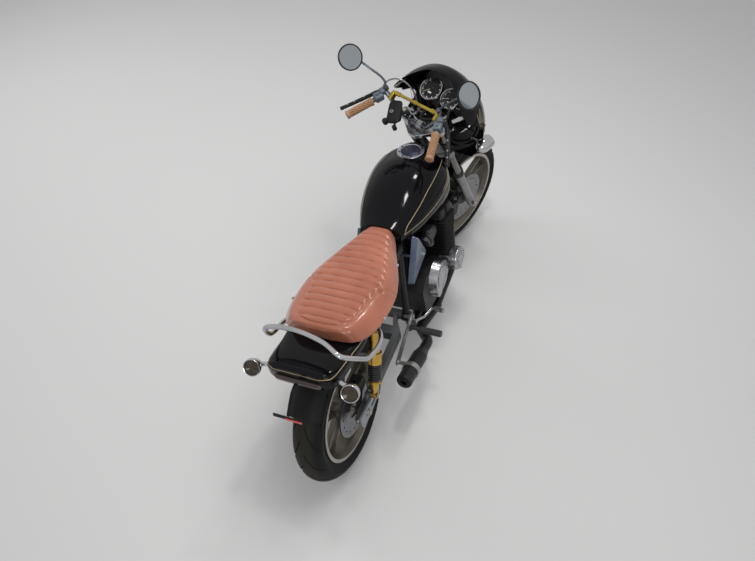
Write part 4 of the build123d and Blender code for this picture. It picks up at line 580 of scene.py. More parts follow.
# Exhaust flanges at the cylinder head and a rolled ring round the silencer's open end.
flanges = []
for y in (-135, -45, 45, 135):
    flanges.append(spun([(0, 0), (0, 27), (9, 27), (11, 24), (11, 0)], (966, y, 596), (1, 0, 0.1), 32))
skin("port_flanges", flanges, ON_CHASSIS, machined)
SILENCER_WAY = np.array([-224.0, -2.0, 53.0]) / math.sqrt(224**2 + 4 + 53**2)
SILENCER_END = np.array([206.0, -202.0, 285.0])
round_the_end = np.linspace(0, 2 * np.pi, 49)[:-1]
end_ring = np.stack([np.zeros(48), 17.5 * np.cos(round_the_end), 17.5 * np.sin(round_the_end)], -1)
end_ring = swept(SILENCER_END + SILENCER_WAY + end_ring, 2.6, 10, True)
skin("silencer_lip", end_ring, ON_CHASSIS, silencer_paint, loop=True)

# Foot pegs: ribbed rubber sleeves pushed over the steel pegs.
sleeves = []
for way in (-1, 1):
    reach = np.linspace(0, 1, 61)
    ridge = 14.2 + 1.8 * (np.abs(np.sin(reach * np.pi * 12)) ** 0.5)
    profile = [(way * 184, 0)] + [(way * (184 + 96 * s), r) for s, r in zip(reach, ridge)] + [(way * 281, 0)]
    sleeves.append(spun(profile, (478, 0, 322), (0, 1, 0), 24))
skin("peg_sleeves", sleeves, ON_CHASSIS, peg_rubber)

# Fork seals: black rubber dust seals pressed into the tops of the sliders.
seal = [(638, 0), (638, 27), (650, 26), (656, 21), (658, 18.4), (658, 0)]
seals = [spun(seal, (FORK_OFFSET, way * FORK_HALF, 0), (0, 0, 1), 40) for way in (-1, 1)]
skin("fork_seals", seals, ON_FORK, peg_rubber)

# Tank: pressed steel in deep gloss black, a little wider on its flanks than the plain solid that it replaces, with
# a folded seam along the bottom.
def flowing(x, table_x, table_y):
    """Smooth curve through a table: cubic pieces whose slopes are the mean of the chords on either side."""
    slope = np.gradient(table_y, table_x)
    k = np.clip(np.searchsorted(table_x, x) - 1, 0, len(table_x) - 2)
    gap = table_x[k + 1] - table_x[k]
    t = (x - table_x[k]) / gap
    return (
        (2 * t**3 - 3 * t**2 + 1) * table_y[k]
        + (t**3 - 2 * t**2 + t) * gap * slope[k]
        + (-2 * t**3 + 3 * t**2) * table_y[k + 1]
        + (t**3 - t**2) * gap * slope[k + 1]
    )


TANK_SHAPE = np.array([
    # x, half width, height of the widest line, half width below, underside, top
    (604, 96, 752, 84, 716, 800),
    (640, 112, 756, 96, 712, 812),
    (712, 142, 758, 122, 706, 845),
    (790, 164, 758, 142, 704, 877),
    (860, 177, 758, 154, 702, 895),
    (930, 184, 760, 160, 700, 901),
    (990, 182, 764, 154, 706, 896),
    (1030, 166, 774, 134, 718, 893),
    (1060, 136, 790, 104, 736, 887),
    (1080, 84, 806, 64, 758, 872),
    (1090, 30, 822, 24, 790, 858),
])


def tank_points(x, turn):
    """Tank surface at a distance along and a turn from the top (0) to the middle of the underside (1): the upper half
    of each section is half width × sine, widest height + rise × cosine^0.9, and the lower one tucks in to the flat."""
    half, wide_z, low_half, low_z, top_z = (flowing(x, TANK_SHAPE[:, 0], TANK_SHAPE[:, k]) for k in range(1, 6))
    side, share = np.sign(turn), np.abs(turn)
    up = np.clip(share / 0.5, 0, 1) * math.pi / 2
    tuck = np.clip((share - 0.5) / 0.25, 0, 1)
    flat = np.clip((share - 0.75) / 0.25, 0, 1)
    y = half * np.sin(up) - (half - low_half) * tuck**2.2 - low_half * flat
    upper = wide_z + (top_z - wide_z) * np.cos(up) ** 0.9
    lower = wide_z - (wide_z - low_z) * np.sin(tuck * math.pi / 2)
    z = np.where(share < 0.5, upper, lower)
    return np.stack([x, side * y, z], -1)


TANK_FROM, TANK_TO = TANK_SHAPE[0, 0], TANK_SHAPE[-1, 0]
tank_x = TANK_FROM + (TANK_TO - TANK_FROM) * (0.5 - 0.5 * np.cos(np.linspace(0, np.pi, 150)))
grid_x, grid_turn = np.meshgrid(tank_x, np.linspace(-1, 1, 145)[:-1], indexing="ij")
tank_shell = skin("tank_shell", tank_points(grid_x, grid_turn), ON_CHASSIS, body_black, smooth=60)
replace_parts(tank_shell, "fuel_tank")
seam_line = tank_points(np.linspace(640, 1050, 60), np.full(60, 0.74))
seams = [swept(seam_line * (1, way, 1) + (0, way * 1.5, -1), 2.6, 8) for way in (-1, 1)]
skin("tank_seams", seams, ON_CHASSIS, body_black)

# Filler cap: a broad polished ring with eight dark socket screws round a dark cast lid with fine rings. It replaces
# the plain cap.
CAP_CENTRE = np.array([1014.0, 0.0, 884.0])
SCREW_CIRCLE = 53.0
CAP_SCREW_TURN = 0.39
UP = (0, 0, 1)
cap_screws = []
for angle in np.linspace(0, 2 * np.pi, 9)[:-1] + CAP_SCREW_TURN:
    spot = CAP_CENTRE + SCREW_CIRCLE * np.array([math.cos(angle), math.sin(angle), 0])
    socket_screw = [(14.5, 0), (14.5, 4.0), (17.6, 4.0), (18.2, 3.2), (18.2, 2), (16.5, 1.9), (16.5, 0)]
    cap_screws.append(spun(socket_screw, spot, UP, 16))
dark_alloy = finish(
    "dark_alloy", (0.05, 0.056, 0.085), (0.03, 0.034, 0.055), 0.42, metallic=0.6, grain=500.0, bump=0.3,
)
skin("cap_screws", cap_screws, ON_CHASSIS, dark_alloy)
lid = [(0, 0), (0, 45), (14, 45)] + [(14 + 0.8 * (step % 2), 44 - 1.9 * step) for step in range(14)]
lid += [(15.5, 16), (18, 15), (18, 8), (16, 7), (16, 0)]
skin("cap_lid", spun(lid, CAP_CENTRE, UP, 72), ON_CHASSIS, dark_alloy, smooth=20)
cap_edge = [(0, 60), (13, 63), (15.5, 62), (16.2, 60), (16.2, 46.5), (14, 44.5), (0, 44.5)]
cap_ring = skin(
    "cap_ring", spun(cap_edge, CAP_CENTRE, UP, 72), ON_CHASSIS, cap_alloy, loop=True, smooth=20,
)
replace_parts(cap_ring, "filler_cap")

# Seat: a foam seat in two steps under tan leather, with rolls sewn across both parts, plain flanks with two
# crossing seams, and a sewn line round the rear panel.
SEAT_SHAPE = np.array([
    # x, half width at the lower edge, underside, top
    (0, 60, 760, 806),
    (8, 112, 754, 815),
    (26, 150, 748, 820),
    (60, 177, 742, 820),
    (110, 194, 737, 817),
    (170, 202, 734, 812),
    (240, 203, 731, 808),
    (300, 196, 729, 803),
    (370, 175, 728, 800),
    (450, 140, 730, 799),
    (520, 106, 734, 797),
    (580, 78, 738, 793),
    (620, 54, 742, 787),
    (640, 34, 746, 778),
    (648, 16, 752, 768),
])
ACROSS = np.array([
    (0, 1), (0.3, 0.985), (0.55, 0.93), (0.72, 0.83), (0.83, 0.68), (0.9, 0.48), (0.96, 0.26), (1, 0.1), (0.99, 0.03),
    (0.93, 0), (0.5, 0), (0, 0),
])
CREASE_X = 275.0
ROLL_PITCH = 38.5
ROLL_HIGH = 9.0
ROLL_BOW = 10.0
ROLLS_END = 595.0
PANEL_END, PANEL_SHARE, PANEL_EASE = 268.0, 0.7, 16.0
LEATHER_MID_UP = 760.0
REAR_SEAM = np.array([
    (268, 0.7), (235, 0.62), (190, 0.585), (140, 0.575), (85, 0.575), (52, 0.53), (33, 0.42), (24, 0.25), (21, 0),
])
FLANK_SEAMS = (
    np.array([(262, 0.68), (285, 0.82), (300, 1.02)]), np.array([(262, 0.68), (236, 0.84), (190, 1.02)]),
    np.array([(268, 0.7), (275, 0.4), (276, 0)]),
)
seat_x = SEAT_SHAPE[-1, 0] * (0.5 - 0.5 * np.cos(np.linspace(0, np.pi, 361)))
half_w, under, crest = (flowing(seat_x, SEAT_SHAPE[:, 0], SEAT_SHAPE[:, k]) for k in (1, 2, 3))
key = np.concatenate([[0], np.cumsum(np.hypot(*np.diff(ACROSS * (1, 0.45), axis=0).T))])
half_ring = np.linspace(0, key[-1], 121)
share_y, share_z = (flowing(half_ring, key, ACROSS[:, k]) for k in (0, 1))
share_y, share_z = np.concatenate([share_y[:-1], -share_y[:0:-1]]), np.concatenate([share_z[:-1], share_z[:0:-1]])
x = np.broadcast_to(seat_x[:, None], (len(seat_x), len(share_y)))
y = half_w[:, None] * share_y
z = under[:, None] + (crest - under)[:, None] * share_z
edge_at = int(np.argmax(share_y))
step_long = np.hypot(np.diff(y[:, : edge_at + 1], axis=1), np.diff(z[:, : edge_at + 1], axis=1))
reach = np.concatenate([np.zeros((len(seat_x), 1)), np.cumsum(step_long, axis=1)], 1)
girth = reach[:, -1:]
part = reach / girth
part = np.concatenate([part, np.full((len(seat_x), len(share_y) - 2 * edge_at - 1), 1.3), part[:, :0:-1]], 1)


def from_line(line):
    """Distance in mm on the leather from a line of (x, share of the way down the flank): least over its runs."""
    spot = np.stack([x, part * girth], -1)
    nearest = np.full(x.shape, 1e3)
    for (x0, p0), (x1, p1) in zip(line[:-1], line[1:]):
        start = np.stack([np.full(x.shape, x0), p0 * np.broadcast_to(girth, x.shape)], -1)
        run_to = np.stack([np.full(x.shape, x1), p1 * np.broadcast_to(girth, x.shape)], -1) - start
        t = np.clip(((spot - start) * run_to).sum(-1) / (run_to**2).sum(-1), 0, 1)
        nearest = np.minimum(nearest, np.linalg.norm(spot - start - t[..., None] * run_to, axis=-1))
    return nearest


seam_share = np.interp(x, REAR_SEAM[::-1, 0], REAR_SEAM[::-1, 1], left=0)
panel_edge = np.where(x < PANEL_END, seam_share, PANEL_SHARE - (x - PANEL_END) * 0.0002)
inside = np.clip((panel_edge - part) * girth / PANEL_EASE, 0, 1)
inside = inside * inside * (3 - 2 * inside)
ends = np.clip((ROLLS_END - x) / 30, 0, 1)
bow = ROLL_BOW * (1 - np.clip(part, 0, 1) ** 2)
roll = np.abs(np.sin(np.pi * (x - CREASE_X - bow) / ROLL_PITCH)) ** 0.5
lift = inside * ends * (ROLL_HIGH * roll - 0.7 * ROLL_HIGH)
for seam, stitch, dip, dip_wide in ((REAR_SEAM, 3.2, 1.2, 9.0), *((line, 2.4, 1.4, 10.0) for line in FLANK_SEAMS)):
    away = from_line(seam)
    lift = lift - stitch * np.exp(-((away / 3.0) ** 2)) - dip * np.exp(-((away / dip_wide) ** 2))
plain = np.stack([x, y, z], -1)
slope_along, slope_round = np.gradient(plain, axis=0), np.gradient(plain, axis=1)
outward = np.cross(slope_round, slope_along)
outward /= np.linalg.norm(outward, axis=-1)[..., None] + 1e-9
outward *= np.sign((outward * np.stack([0 * x, y, z - LEATHER_MID_UP], -1)).sum(-1))[..., None]
wrinkle = 0.5 * np.sin(x / 9.0 + 2.0 * np.sin(y / 17.0)) * np.clip(1.0 - inside, 0, 1) * (part < 1)
seat_points = plain + outward * (lift + 0.35 * wrinkle)[..., None]
seat_leather = finish(
    "seat_leather", (0.4, 0.135, 0.075), (0.32, 0.1, 0.054), 0.24, patch=7.0, grain=700.0, bump=0.25, coat=0.25,
)
seat_leather.node_tree.nodes["Principled BSDF"].inputs["Sheen Weight"].default_value = 0.15
seat_cover = skin("seat_cover", seat_points, ON_CHASSIS, seat_leather, smooth=80)
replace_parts(seat_cover, "seat")
seat_studs = []
for stud_x in (165, 452):
    for way in (-1, 1):
        at = int(np.argmin(np.abs(seat_x - stud_x)))
        spot = (stud_x, way * (half_w[at] - 1), under[at] + 12)
        seat_studs.append(spun([(-2, 0), (-2, 7), (3, 7), (5.5, 5), (7, 2), (7, 0)], spot, (0, way, -0.2), 20))
skin("seat_studs", seat_studs, ON_CHASSIS, chrome)

# Tail: a moulded cowl in gloss black that widens over the wheel, hollow from below, with a closed rear wall. It
# replaces the plain cowl.
COWL_SHAPE = np.array([
    # x, half width, lower edge, top
    (470, 102, 716, 726),
    (330, 128, 714, 729),
    (180, 150, 712, 733),
    (60, 159, 702, 744),
    (-40, 152, 700, 757),
    (-110, 149, 704, 770),
    (-150, 143, 708, 777),
    (-172, 131, 710, 780),
    (-182, 112, 712, 777),
])


def cowl_section(x, inset, turn):
    """A bent-down plate: half width × power of sine and lower edge + height × power of cosine, so that the corners are
    tight and the top nearly flat."""
    half, low, top = (flowing(x, COWL_SHAPE[::-1, 0], COWL_SHAPE[::-1, k]) for k in (1, 2, 3))
    y = (half - inset) * np.sign(turn) * np.sin(np.abs(turn)) ** 0.5
    z = low + (top - inset - low) * np.clip(np.cos(turn), 0, 1) ** 0.42
    return np.stack([x, y, z], -1)


COWL_FRONT, COWL_BACK = COWL_SHAPE[0, 0], COWL_SHAPE[-1, 0]
COWL_WALL = 4.0
cowl_x = COWL_FRONT - (COWL_FRONT - COWL_BACK) * (0.5 - 0.5 * np.cos(np.linspace(0, np.pi, 90)))
cowl_turn = np.linspace(-np.pi / 2, np.pi / 2, 81)
outer_x, outer_turn = np.meshgrid(cowl_x, cowl_turn, indexing="ij")
outside = cowl_section(outer_x, 0, outer_turn)
inside_skin = cowl_section(outer_x, COWL_WALL, outer_turn)[:, ::-1]
rear_wall = cowl_section(np.full(81, COWL_BACK), 0, cowl_turn)
rear_wall = np.stack([rear_wall + (3, 0, 0), rear_wall, (rear_wall - (0, 0, 750)) * (1, 0.97, 0.93) + (-3, 0, 750)])
cowl_grids = [np.concatenate([outside, inside_skin], 1), rear_wall]
cowl_shell = skin("cowl_shell", cowl_grids, ON_CHASSIS, body_black, smooth=50)
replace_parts(cowl_shell, "tail_cowl")


def laid_on(piece, route, wide, stance=parked, high=0.5):
    """A thin band along points (mm) laid on a piece's surface: nearest surface points, with four edges at half the
    width to either side and from just under to just over the skin."""
    corners, faces = [v.co[:] for v in piece.data.vertices], [p.vertices[:] for p in piece.data.polygons]
    surface = BVHTree.FromPolygons(corners, faces)
    route = np.asarray(route, float)
    length = np.concatenate([[0], np.cumsum(np.linalg.norm(np.diff(route, axis=0), axis=1))])
    even = np.linspace(0, length[-1], max(24, int(length[-1] / 6)))
    path = stance(np.stack([flowing(even, length, route[:, k]) for k in range(3)], -1))
    found = [surface.find_nearest(Vector(point)) for point in path]
    spots, out = np.array([hit[0] for hit in found]), np.array([hit[1] for hit in found])
    way = np.gradient(spots, axis=0)
    way /= np.linalg.norm(way, axis=1)[:, None]
    side = np.cross(out, way)
    side /= np.linalg.norm(side, axis=1)[:, None]
    out = np.cross(way, side)
    wide = np.atleast_1d(wide).astype(float)
    wide = np.interp(np.linspace(0, 1, len(path)), np.linspace(0, 1, len(wide)), wide)[:, None] / 2000
    edges = ((-1, -0.4), (1, -0.4), (1, high), (-1, high))
    return np.stack([spots + side * a * wide + out * b / 1000 for a, b in edges], 1)


def as_it_is(points):
    """Points that are already in metres of the leaning motorcycle."""
    return np.asarray(points, float)


pinstripe_gold = finish(
    "pinstripe_gold", (0.46, 0.36, 0.19), (0.36, 0.27, 0.14), 0.3, metallic=0.3, coat=0.3, patch=20.0,
)
half_stripe = [
    (165, 151, 726), (60, 160, 733), (-40, 154, 745), (-110, 150, 756), (-150, 145, 761), (-172, 133, 763),
    (-184, 98, 763), (-186, 0, 763),
]
tail_route = half_stripe + [(x, -y, z) for x, y, z in half_stripe[-2::-1]]
skin("tail_stripe", laid_on(cowl_shell, tail_route, 3.4), (as_it_is, "chassis"), pinstripe_gold)

# Tank stripes: one gold line round a leaf-shaped panel on each flank, with a bronze band at its front.
LEAF = [
    (1066, 118, 832), (1040, 132, 842), (990, 146, 852), (912, 147, 846), (823, 142, 834), (757, 132, 813),
    (693, 116, 790), (645, 105, 772), (625, 98, 752),
]
LEAF_LOW = [
    (625, 98, 752), (690, 132, 752), (780, 160, 756), (860, 174, 762), (930, 181, 772), (985, 178, 788),
    (1020, 164, 802), (1050, 142, 818), (1066, 118, 832),
]
bands = [laid_on(tank_shell, np.multiply(line, (1, way, 1)), 3.4) for way in (-1, 1) for line in (LEAF, LEAF_LOW)]
skin("tank_stripes", bands, (as_it_is, "chassis"), pinstripe_gold)
bronze_band = finish("bronze_band", (0.16, 0.13, 0.075), (0.11, 0.09, 0.05), 0.25, metallic=0.5, coat=0.4)
BAND = [(900, 178, 780), (950, 180, 788), (995, 172, 802), (1030, 154, 818), (1052, 134, 832)]
BAND_WIDE = 19 * np.sin(np.linspace(0.05, 3.0, 24))
bronze = [laid_on(tank_shell, np.multiply(BAND, (1, way, 1)), BAND_WIDE, high=0.4) for way in (-1, 1)]
skin("tank_bands", bronze, (as_it_is, "chassis"), bronze_band)


def eased(points, times=3):
    """A bent line: each corner is cut at a quarter and three quarters of its runs, some times over, the ends kept."""
    line = np.asarray(points, float)
    for _ in range(times):
        near, far = line[:-1] * 0.75 + line[1:] * 0.25, line[:-1] * 0.25 + line[1:] * 0.75
        line = np.concatenate([line[:1], np.stack([near, far], 1).reshape(-1, 3), line[-1:]])
    return line


# Grab rail: one bent chromed tube from the left shock mount round behind the seat to the right one, with a hooked
# left corner. It replaces the plain rail.
RAIL_ROUTE = [
    (165, 158, 692), (120, 190, 696), (70, 212, 704), (-26, 198, 738), (-60, 188, 800), (-70, 172, 842),
    (-56, 130, 844), (-52, 86, 843), (-55, 20, 842), (-68, -44, 842), (-82, -92, 842), (-112, -150, 838),
    (-104, -166, 818), (-40, -202, 748), (-20, -212, 730), (60, -216, 706), (120, -200, 697), (165, -158, 692),
]
rail_line = eased(RAIL_ROUTE)
grab_tube = skin("grab_tube", swept(rail_line, 10.0, 20), ON_CHASSIS, chrome, smooth=60)
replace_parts(grab_tube, "grab_rail")

# Tail lamp: a wide dark lens low on the cowl's rear wall. It replaces the plain lamp.
LAMP_MIDDLE_UP = 727.0
lamp_turn = np.linspace(0, 2 * np.pi, 81)[:-1]
cosine, sine = np.cos(lamp_turn), np.sin(lamp_turn)
lamp_ring = np.stack([np.sign(cosine) * np.abs(cosine) ** 0.25, np.sign(sine) * np.abs(sine) ** 0.45], -1)
red_lens = finish("red_lens", (0.03, 0.004, 0.004), (0.015, 0.003, 0.003), 0.15, coat=0.8)
lamp_grid = []
for back, half, high in (  # x of a ring of the lens, its half width and its half height
    (-172, 96, 13), (-190, 96, 13), (-196, 93, 11), (-199, 84, 7), (-200, 60, 2),
):
    lamp_grid.append(
        np.stack([np.full(80, back), half * lamp_ring[:, 0], LAMP_MIDDLE_UP + high * lamp_ring[:, 1]], -1)
    )
tail_lens = skin("tail_lens", np.stack(lamp_grid), ON_CHASSIS, red_lens, smooth=50)
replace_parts(tail_lens, "tail_lamp")

# Rear indicators: chromed bullets on short stems, tilted up, with brown ribbed lenses in bright rims. They replace
# the plain ones.
INDICATOR = np.array([-170.0, 206.0, 716.0])
FACING = np.array([-0.84, -0.16, 0.52])
smoked_lens = finish("smoked_lens", (0.055, 0.035, 0.02), (0.03, 0.02, 0.013), 0.12, coat=0.6, shine=0.3)
LENS_R, LENS_DOME, LENS_RIB = 31.0, 5.5, 0.7
lens_steps = enumerate(np.linspace(LENS_R, 0, 30))
prism = [(4, 0), (4, LENS_R)]
prism += [(12 + LENS_DOME * (1 - (r / LENS_R) ** 2) + LENS_RIB * (step % 2), r) for step, r in lens_steps]
bullet = [
    (-52, 0), (-51, 6), (-44, 15), (-30, 24), (-10, 32), (2, 35), (14, 35), (16, 33.5), (15, 31.5), (5, 31.2), (5, 0),
]
bullets, lenses = [], []
for way in (-1, 1):
    middle_at = INDICATOR * (1, way, 1)
    bullets.append(spun(bullet, middle_at, FACING, 56))
    bullets.append(swept(np.array([middle_at - FACING * 26, (-140, way * 150, 716), (-128, way * 92, 712)]), 9.0, 16))
    lenses.append(spun(prism, middle_at, FACING, 56))
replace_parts(skin("rear_bullets", bullets, ON_CHASSIS, chrome, smooth=50), "rear_indicators")
skin("rear_lenses", lenses, ON_CHASSIS, smoked_lens)

# Rear guard: a short inner mudguard hidden under the cowl, and a slim arm from it to the reflector bar, which is half
# black and half red. They replace the deeper guard and its bracket.
GUARD_FROM, GUARD_TO = 66.0, 136.0
GUARD_HALF, GUARD_DROP = 66.0, 26.0
guard_angle = np.radians(np.linspace(GUARD_FROM, GUARD_TO, 60))[:, None]
guard_across = np.linspace(-1, 1, 25)
guard_rings = []
for radius in (346.0, 342.5):
    r = radius - GUARD_DROP * np.abs(guard_across) ** 3
    guard_ring = np.broadcast_arrays(
        r * np.cos(guard_angle), GUARD_HALF * guard_across, REAR_AXLE_UP + r * np.sin(guard_angle),
    )
    guard_rings.append(np.stack(guard_ring, -1))
guard = np.concatenate([guard_rings[0], guard_rings[1][:, ::-1]], 1)
rear_guard = skin("rear_guard", guard, ON_CHASSIS, inner_plastic, smooth=50)
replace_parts(rear_guard, "rear_mudguard")
ARM = [(-150, 6, 722), (-215, 6, 716), (-250, 6, 690), (-291, 6, 646)]
PLATE_BAR = (-298.0, 643.0)
block = np.array([(-1, -1), (1, -1), (1, 1), (-1, 1)])


def bar_piece(start, stop, deep, high, ahead_of=0.0):
    """A straight bar across the bike: a rectangle round the plate bar's line at two places in Y."""
    x, z = PLATE_BAR[0] + ahead_of + block[:, 0] * deep / 2, PLATE_BAR[1] + block[:, 1] * high / 2
    ring = np.stack([x, np.zeros(4), z], -1)
    return np.stack([ring + (0, start, 0), ring + (0, stop, 0)])


arm_line = eased(ARM)
arm_grid = np.stack([arm_line + (0, side * 7, rise * 2) for side, rise in block], 1)
plate_arm = skin("plate_arm", [arm_grid, bar_piece(-52, 66, 6, 14)], ON_CHASSIS, inner_plastic)
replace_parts(plate_arm, "plate_bracket")
reflector_red = finish("reflector_red", (0.6, 0.02, 0.012), (0.42, 0.012, 0.008), 0.18, coat=0.6)
skin("reflector_bar", bar_piece(-55, 12, 3, 9, -4.5), ON_CHASSIS, reflector_red)

# Swingarm ends: cast light alloy plates round the axle, bolted on each arm, with a thin dark sheet as painted shade in
# each slot.
plate_alloy = finish("plate_alloy", (0.36, 0.38, 0.4), (0.26, 0.28, 0.3), 0.4, metallic=0.6)
ENDS = np.array([(-62, 300), (-56, 286), (20, 288), (120, 318), (124, 352), (20, 356), (-56, 352), (-64, 338)], float)
plates, slot_shades = [], []
for way in (-1, 1):
    ring = np.stack([ENDS[:, 0], np.full(8, way * 121.0), ENDS[:, 1]], -1)
    bevel = (ring - (20, 0, REAR_AXLE_UP)) * (0.95, 1, 0.9) + (20, way * 11.5, REAR_AXLE_UP)
    plates.append(np.stack([ring, ring + (0, way * 9, 0), bevel]))
    slot = np.stack([np.array([30, 96, 96, 30.0]), np.full(4, way * 131.5), np.array([318, 326, 338, 332.0])], -1)
    slot_shades.append(np.stack([slot, slot + (0, way * 1.2, 0)]))
skin("arm_plates", plates, ON_CHASSIS, plate_alloy)
skin("arm_slot_shades", slot_shades, ON_CHASSIS, inner_plastic)

# Handlebar: one chrome-grey tube that rises outward from its clamps and turns back at the grips. It replaces the bar.
BAR_END = np.array([-135.0, 231.0, 1220.0])
BAR_IN = np.array([-14.0, 175.0, 1206.0])
BAR_R = 11.0
BAR_WAY = (BAR_END - BAR_IN) / np.linalg.norm(BAR_END - BAR_IN)
BAR_HALF = [
    (18, 0, 1108), (18, 58, 1108), (22, 80, 1124), (40, 138, 1194), (46, 156, 1210), (18, 165, 1208), BAR_IN,
    BAR_END - 4 * BAR_WAY,
]
bar_half = eased(BAR_HALF)
bar_steel = finish("bar_steel", (0.2, 0.22, 0.26), (0.14, 0.15, 0.18), 0.25, metallic=1.0)
bar_line = np.concatenate([(bar_half * (1, -1, 1))[:0:-1], bar_half])
bar_tube = skin("bar_tube", swept(bar_line, BAR_R, 20), ON_FORK, bar_steel, smooth=60)
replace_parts(bar_tube, "handlebar")

# Grips: tan rubber with a waffle of raised lozenges between two flanges. They replace the plain grips.
grip_rubber = finish("grip_rubber", (0.36, 0.2, 0.105), (0.27, 0.145, 0.072), 0.45, grain=500.0, bump=0.3)


def round_bar(side, reach, radius, turns):
    """Points round the bar's straight end: tip − way × distance in, plus radius × (cosine, sine) square to the bar."""
    way = BAR_WAY * (1, side, 1)
    across = np.cross(way, (0.0, 0.0, 1.0))
    across /= np.linalg.norm(across)
    up = np.cross(across, way)
    ring = np.cos(turns)[..., None] * across + np.sin(turns)[..., None] * up
    return BAR_END * (1, side, 1) - reach[..., None] * way + radius[..., None] * ring


grips = []
GRIP_LONG, GRIP_R, LOZENGE_HIGH = 124.0, 13.0, 4.4
grip_turn = np.linspace(0, 2 * np.pi, 97)[:-1]
reach, turns = np.meshgrid(np.linspace(-9, GRIP_LONG, 220), grip_turn, indexing="ij")
for side in (-1, 1):
    wave = reach / GRIP_LONG * np.pi * 9
    lozenge = np.clip(np.abs(np.sin(wave + 4 * turns)) * np.abs(np.sin(wave - 4 * turns)) * 2.2, 0, 1) ** 0.7
    middle = np.clip(np.minimum(reach - 6, 114 - reach) / 4, 0, 1)
    radius = GRIP_R + 4.0 * (1 - middle) + LOZENGE_HIGH * middle * lozenge
    radius += 3.5 * np.exp(-(((reach - 119) / 4) ** 2)) + 2.2 * np.exp(-(((reach + 3) / 5) ** 2))
    radius *= np.clip((reach + 9.4) / 3, 0, 1) ** 0.5
    grips.append(round_bar(side, reach, radius, turns))
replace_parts(skin("waffle_grips", grips, ON_FORK, grip_rubber), "grips")


# Switch blocks: blue-grey castings with a button each, on the bar inboard of the grips. They replace the plain ones.
def cast_block(centre, way, long, wide, high, power=0.5):
    """A block with rounded edges: super-ellipse rings square to way, drawn in at both ends by a circle's arc."""
    way = np.asarray(way, float) / np.linalg.norm(way)
    across = np.cross(way, (0.0, 0.0, 1.0))
    across /= np.linalg.norm(across)
    up = np.cross(across, way)
    s = np.sin(np.linspace(-np.pi / 2, np.pi / 2, 21))[:, None]
    a = np.broadcast_to(np.linspace(0, 2 * np.pi, 41)[:-1], (21, 40))
    draw = np.clip(1 - np.abs(s) ** 8, 0.001, 1) ** 0.3
    c, n = np.cos(a), np.sin(a)
    side = (wide / 2 * draw * np.sign(c) * np.abs(c) ** power)[..., None] * across
    rise = (high / 2 * draw * np.sign(n) * np.abs(n) ** power)[..., None] * up
    return np.asarray(centre, float) + (long / 2 * s)[..., None] * way + side + rise


block_grey = finish("block_grey", (0.15, 0.18, 0.2), (0.1, 0.12, 0.135), 0.4, metallic=0.3)
SWITCH_AT = (8, 168, 1207)
LEVER_LINE = [(36, 176, 1208), (26, 200, 1196), (-10, 230, 1188), (-100, 292, 1190), (-112, 300, 1191)]
blocks, levers, lever_holes = [], [], []
for side in (-1, 1):
    flip = np.array([1, side, 1])
    blocks.append(cast_block(flip * SWITCH_AT, BAR_WAY * flip, 44, 40, 38))
    blocks.append(cast_block(np.array([34, 163, 1216]) * flip, BAR_WAY * flip, 26, 30, 30))
    blocks.append(spun([(0, 0), (0, 6), (24, 6), (25, 4), (25, 0)], flip * SWITCH_AT, UP, 20))
    blade = eased(LEVER_LINE * flip)
    levers.append(swept(blade, np.interp(np.linspace(0, 1, len(blade)), (0, 0.3, 1), (8, 9.5, 7.5)), 16))
    levers.append(cast_block(np.array([34, 172, 1206]) * flip, (1, 0.6 * side, -0.3), 40, 22, 24))
    levers.append(spun([(-9, 0), (-9, 5), (-6, 9), (6, 9), (9, 5), (9, 0)], blade[-1], (-0.8, 0.55 * side, 0), 20))
    for share in (0.52, 0.6, 0.68):
        lever_holes.append(drum(-1, 10.2, 3.6, blade[int(share * len(blade))], UP, 16))
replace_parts(skin("switch_castings", blocks, ON_FORK, block_grey, smooth=50), "switch_blocks")
lever_black = finish("lever_black", (0.012, 0.012, 0.013), (0.008, 0.008, 0.008), 0.3, shine=0.3)
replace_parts(skin("lever_blades", levers, ON_FORK, lever_black, smooth=50), "control_levers")
skin("lever_holes", lever_holes, ON_FORK, plated)

# Mirrors: convex glass in black cases, on bent grey stems that stand on the switch blocks. They replace the mirrors.
MIRRORS = (
    # centre, the way the glass faces, stem from the bar to the back of the case
    (
        (48, 299, 1365), (-0.49, -0.33, 0.76),
        [(38, 160, 1206), (54, 154, 1224), (74, 165, 1260), (62, 225, 1322), (62, 262, 1346)],
    ),
    (
        (116, -292, 1381), (-0.7, 0.11, 0.79),
        [(38, -160, 1206), (66, -134, 1226), (76, -140, 1240), (100, -225, 1330), (118, -262, 1358)],
    ),
)
MIRROR_R = 57.0
GLASS_R = MIRROR_R - 6
STEM_R = 5.2
mirror_glass = finish("mirror_glass", (0.42, 0.45, 0.48), (0.38, 0.41, 0.44), 0.08, metallic=1.0, patch=3.0, bump=0.0)
glasses, cases, stems = [], [], []
for centre, facing, stem in MIRRORS:
    dome = [(-2, 0), (-2, GLASS_R)] + [(2.4 - 2.2 * (r / GLASS_R) ** 2, r) for r in np.linspace(GLASS_R, 0, 20)]
    glasses.append(spun(dome, centre, facing, 64))
    case = [(-20, 0), (-19, 22), (-14, 42), (-6, 54), (1, MIRROR_R)]
    case += [(4.4, MIRROR_R - 1), (4.2, MIRROR_R - 5.6), (0, GLASS_R), (0, 0)]
    cases.append(spun(case, centre, facing, 64))
    stems.append(swept(eased(stem + [np.subtract(centre, np.multiply(facing, 12))]), STEM_R, 14))
    stems.append(spun([(-10, 0), (-10, 11), (8, 11), (12, 8), (12, 0)], stem[1], UP, 24))
skin("mirror_glasses", glasses, ON_FORK, mirror_glass)
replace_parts(skin("mirror_cases", cases, ON_FORK, lever_black, smooth=50), "mirrors")
skin("mirror_stems", stems, ON_FORK, bar_steel, smooth=50)

